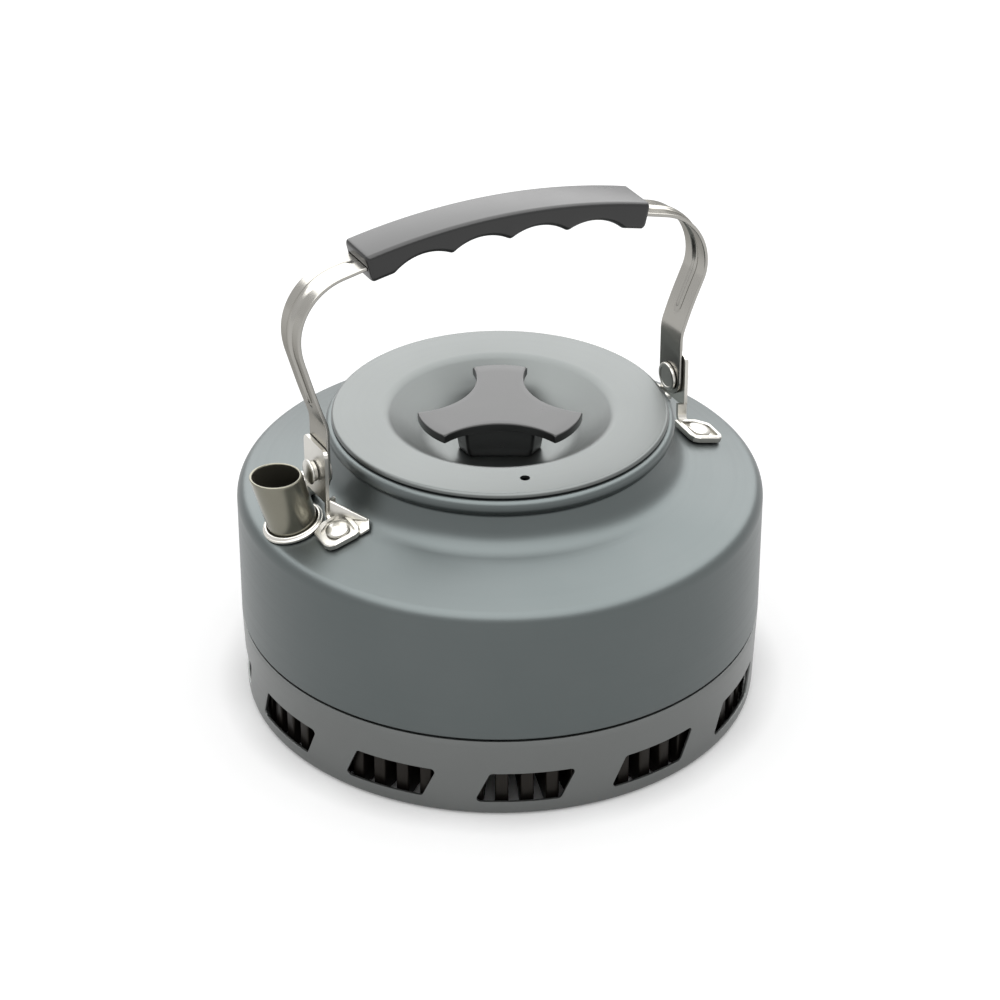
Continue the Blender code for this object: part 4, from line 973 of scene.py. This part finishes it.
# Rounded sections along the arch, drawn in at both ends by a quarter circle, with a slot for
# the strap swept along the same arch and cut out.
def makeGrip():
    half, roundEnd = grip["length"] / 2, grip["endRound"]
    ends = half - roundEnd * (1 - np.sin(np.linspace(0, pi / 2, grip["endPoints"])))
    inside = np.linspace(-ends[0], ends[0], grip["columns"])[1:-1]
    along = np.concatenate([-ends[::-1], inside, ends])
    fromEnd = np.maximum(roundEnd - (half - np.abs(along)), 0)
    inset = roundEnd - np.sqrt(np.maximum(roundEnd ** 2 - fromEnd ** 2, 0))
    sections = []
    for low, drawn in zip(gripDepth(along), inset):
        wide = grip["width"] / 2 - drawn
        corners = [(-wide, -low + drawn, grip["lowRound"]), (wide, -low + drawn, grip["lowRound"]),
                   (wide, -drawn, grip["topRound"]), (-wide, -drawn, grip["topRound"])]
        sections.append(roundedLoop(corners, grip["arcPoints"]))
    sections = np.stack(sections)
    spots = leaned(capped(alongArch(sections[..., 0], sections[..., 1], along / grip["arch"])))
    piece = newPiece("gripMoulding", [(spots, gridFaces(*spots.shape[:2], False))], blackPlastic,
                     grip["sharp"])
    turn = np.linspace(-1, 1, grip["slotPoints"]) * (half + grip["slotPast"]) / grip["arch"]
    wide = bail["width"] / 2 + grip["slotFit"]
    tall = bail["sheet"] / 2 + grip["slotFit"]
    loop = np.array([(-wide, -tall), (wide, -tall), (wide, tall), (-wide, tall)])
    rise = loop[:, 1][None] - bail["depthInGrip"]
    across = np.broadcast_to(loop[:, 0], (len(turn), len(loop)))
    slot = leaned(capped(alongArch(across, rise, turn)))
    cutOut(piece, [newPiece("gripSlot", [(slot, gridFaces(*slot.shape[:2], False))], None)],
           grip["sharp"])
    dress(piece, "bail", "black_plastic", "grip")
    print("grip made")


makeVessel()
makeSkirt()
makeFins()
makeLid()
makeKnob()
makeSpout()
makeRivets()
makeGusset()
makeStrap()
makeGrip()

# Nodes kept as they are, with their finish
for name in ("bracket_rear_side", "bracket_spout_side", "knob_washer", "knob_screw"):
    nodes[name].data.materials.clear()
    nodes[name].data.materials.append(pressedSteel)


# Floor, light and camera. The floor glows a little for rays that show it, so that it is white; near
# the kettle the glow fades out, a painted shadow added to the real one. The lamp hangs over and
# behind the kettle to be mirrored.

stage = {"floorSide": 6.0, "floorColour": "F4F4F4", "floorRoughness": 0.9, "floorGlow": 0.32,
         "paintedShadowCore": 78 * mm, "paintedShadowEdge": 96 * mm, "surround": 0.95, "lampWidth": 3.4,
         "lampDepth": 5.4, "lampElevation": 75, "lampDistance": 1.5, "lampRadiance": 2.3,
         "viewAzimuth": 61.5, "sensor": 36.0, "lens": 117.94,
         "cameraPlace": (-0.4410, -0.8123, 0.6179), "cameraAim": (0, 0, 0.06564)}


# 1 for rays that show the surround itself, 0 for those that only gather its light.
def seenDirectly(tree):
    rays = addNode(tree, "LightPath")
    seen = addNode(tree, "Math", {0: rays.outputs["Is Camera Ray"], 1: rays.outputs["Is Glossy Ray"]},
                   operation="MAXIMUM")
    return addNode(tree, "Math", {0: seen.outputs[0], 1: rays.outputs["Is Transmission Ray"]},
                   operation="MAXIMUM").outputs[0]


# A white paper floor, a white surround and one wide soft light overhead.
def makeStage():
    half = stage["floorSide"] / 2
    white = (1.0, 1.0, 1.0, 1.0)
    mesh = bpy.data.meshes.new("floor")
    mesh.from_pydata([(-half, -half, 0), (half, -half, 0), (half, half, 0), (-half, half, 0)], [],
                     [(0, 1, 2, 3)])
    floor = bpy.data.objects.new("floor", mesh)
    bpy.context.scene.collection.objects.link(floor)
    paper, tree, shader = newMaterial("whitePaper", Roughness=stage["floorRoughness"],
                                      Specular_IOR_Level=0.0,
                                      Base_Color=linear(stage["floorColour"]),
                                      Emission_Color=white)
    place = addNode(tree, "TexCoord").outputs["Object"]
    away = addNode(tree, "VectorMath", {0: place}, operation="LENGTH")
    # The glow fades to nothing inside these radii of the axis: a painted shadow under and round the
    # kettle.
    clear = addNode(tree, "MapRange", {"Value": away.outputs["Value"],
                                       "From Min": stage["paintedShadowCore"], "From Max": stage["paintedShadowEdge"],
                                       "To Max": stage["floorGlow"]})
    glow = addNode(tree, "Math", {0: seenDirectly(tree), 1: clear.outputs["Result"]},
                   operation="MULTIPLY")
    tree.links.new(glow.outputs[0], shader.inputs["Emission Strength"])
    mesh.materials.append(paper)
    world = bpy.data.worlds.new("surround")
    bpy.context.scene.world = world
    world.use_nodes = True
    tree = world.node_tree
    background = tree.nodes["Background"]
    level = addNode(tree, "MapRange", {"Value": seenDirectly(tree), "To Min": stage["surround"],
                                       "To Max": 1.0})
    tree.links.new(level.outputs["Result"], background.inputs["Strength"])
    background.inputs["Color"].default_value = white
    data = bpy.data.lights.new("overheadSoftbox", "AREA")
    data.shape = "RECTANGLE"
    data.size = stage["lampWidth"]
    data.size_y = stage["lampDepth"]
    data.energy = 4 * stage["lampRadiance"] * stage["lampWidth"] * stage["lampDepth"]
    light = bpy.data.objects.new("overheadSoftbox", data)
    bpy.context.scene.collection.objects.link(light)
    behind = radians(stage["viewAzimuth"])    # the way the camera looks
    rise = radians(stage["lampElevation"])
    light.location = [stage["lampDistance"] * part for part in
                      (cos(rise) * cos(behind), cos(rise) * sin(behind), sin(rise))]
    light.rotation_euler = (pi / 2 - rise, 0, behind + pi / 2)
    light.visible_camera = False
    light.visible_diffuse = False    # it is there to be mirrored: matt colours stay as written
    print("stage made")


# The photo's camera: its lens in millimetres, its place and the point on the axis it looks at.
def makeCamera():
    data = bpy.data.cameras.new("camera")
    data.sensor_width = stage["sensor"]
    data.lens = stage["lens"]
    camera = bpy.data.objects.new("camera", data)
    bpy.context.scene.collection.objects.link(camera)
    camera.location = stage["cameraPlace"]
    aim = Vector(stage["cameraAim"]) - camera.location
    camera.rotation_euler = aim.to_track_quat("-Z", "Y").to_euler()
    bpy.context.scene.camera = camera
    print("camera made")


makeStage()
makeCamera()
bpy.context.scene.view_settings.view_transform = "Standard"
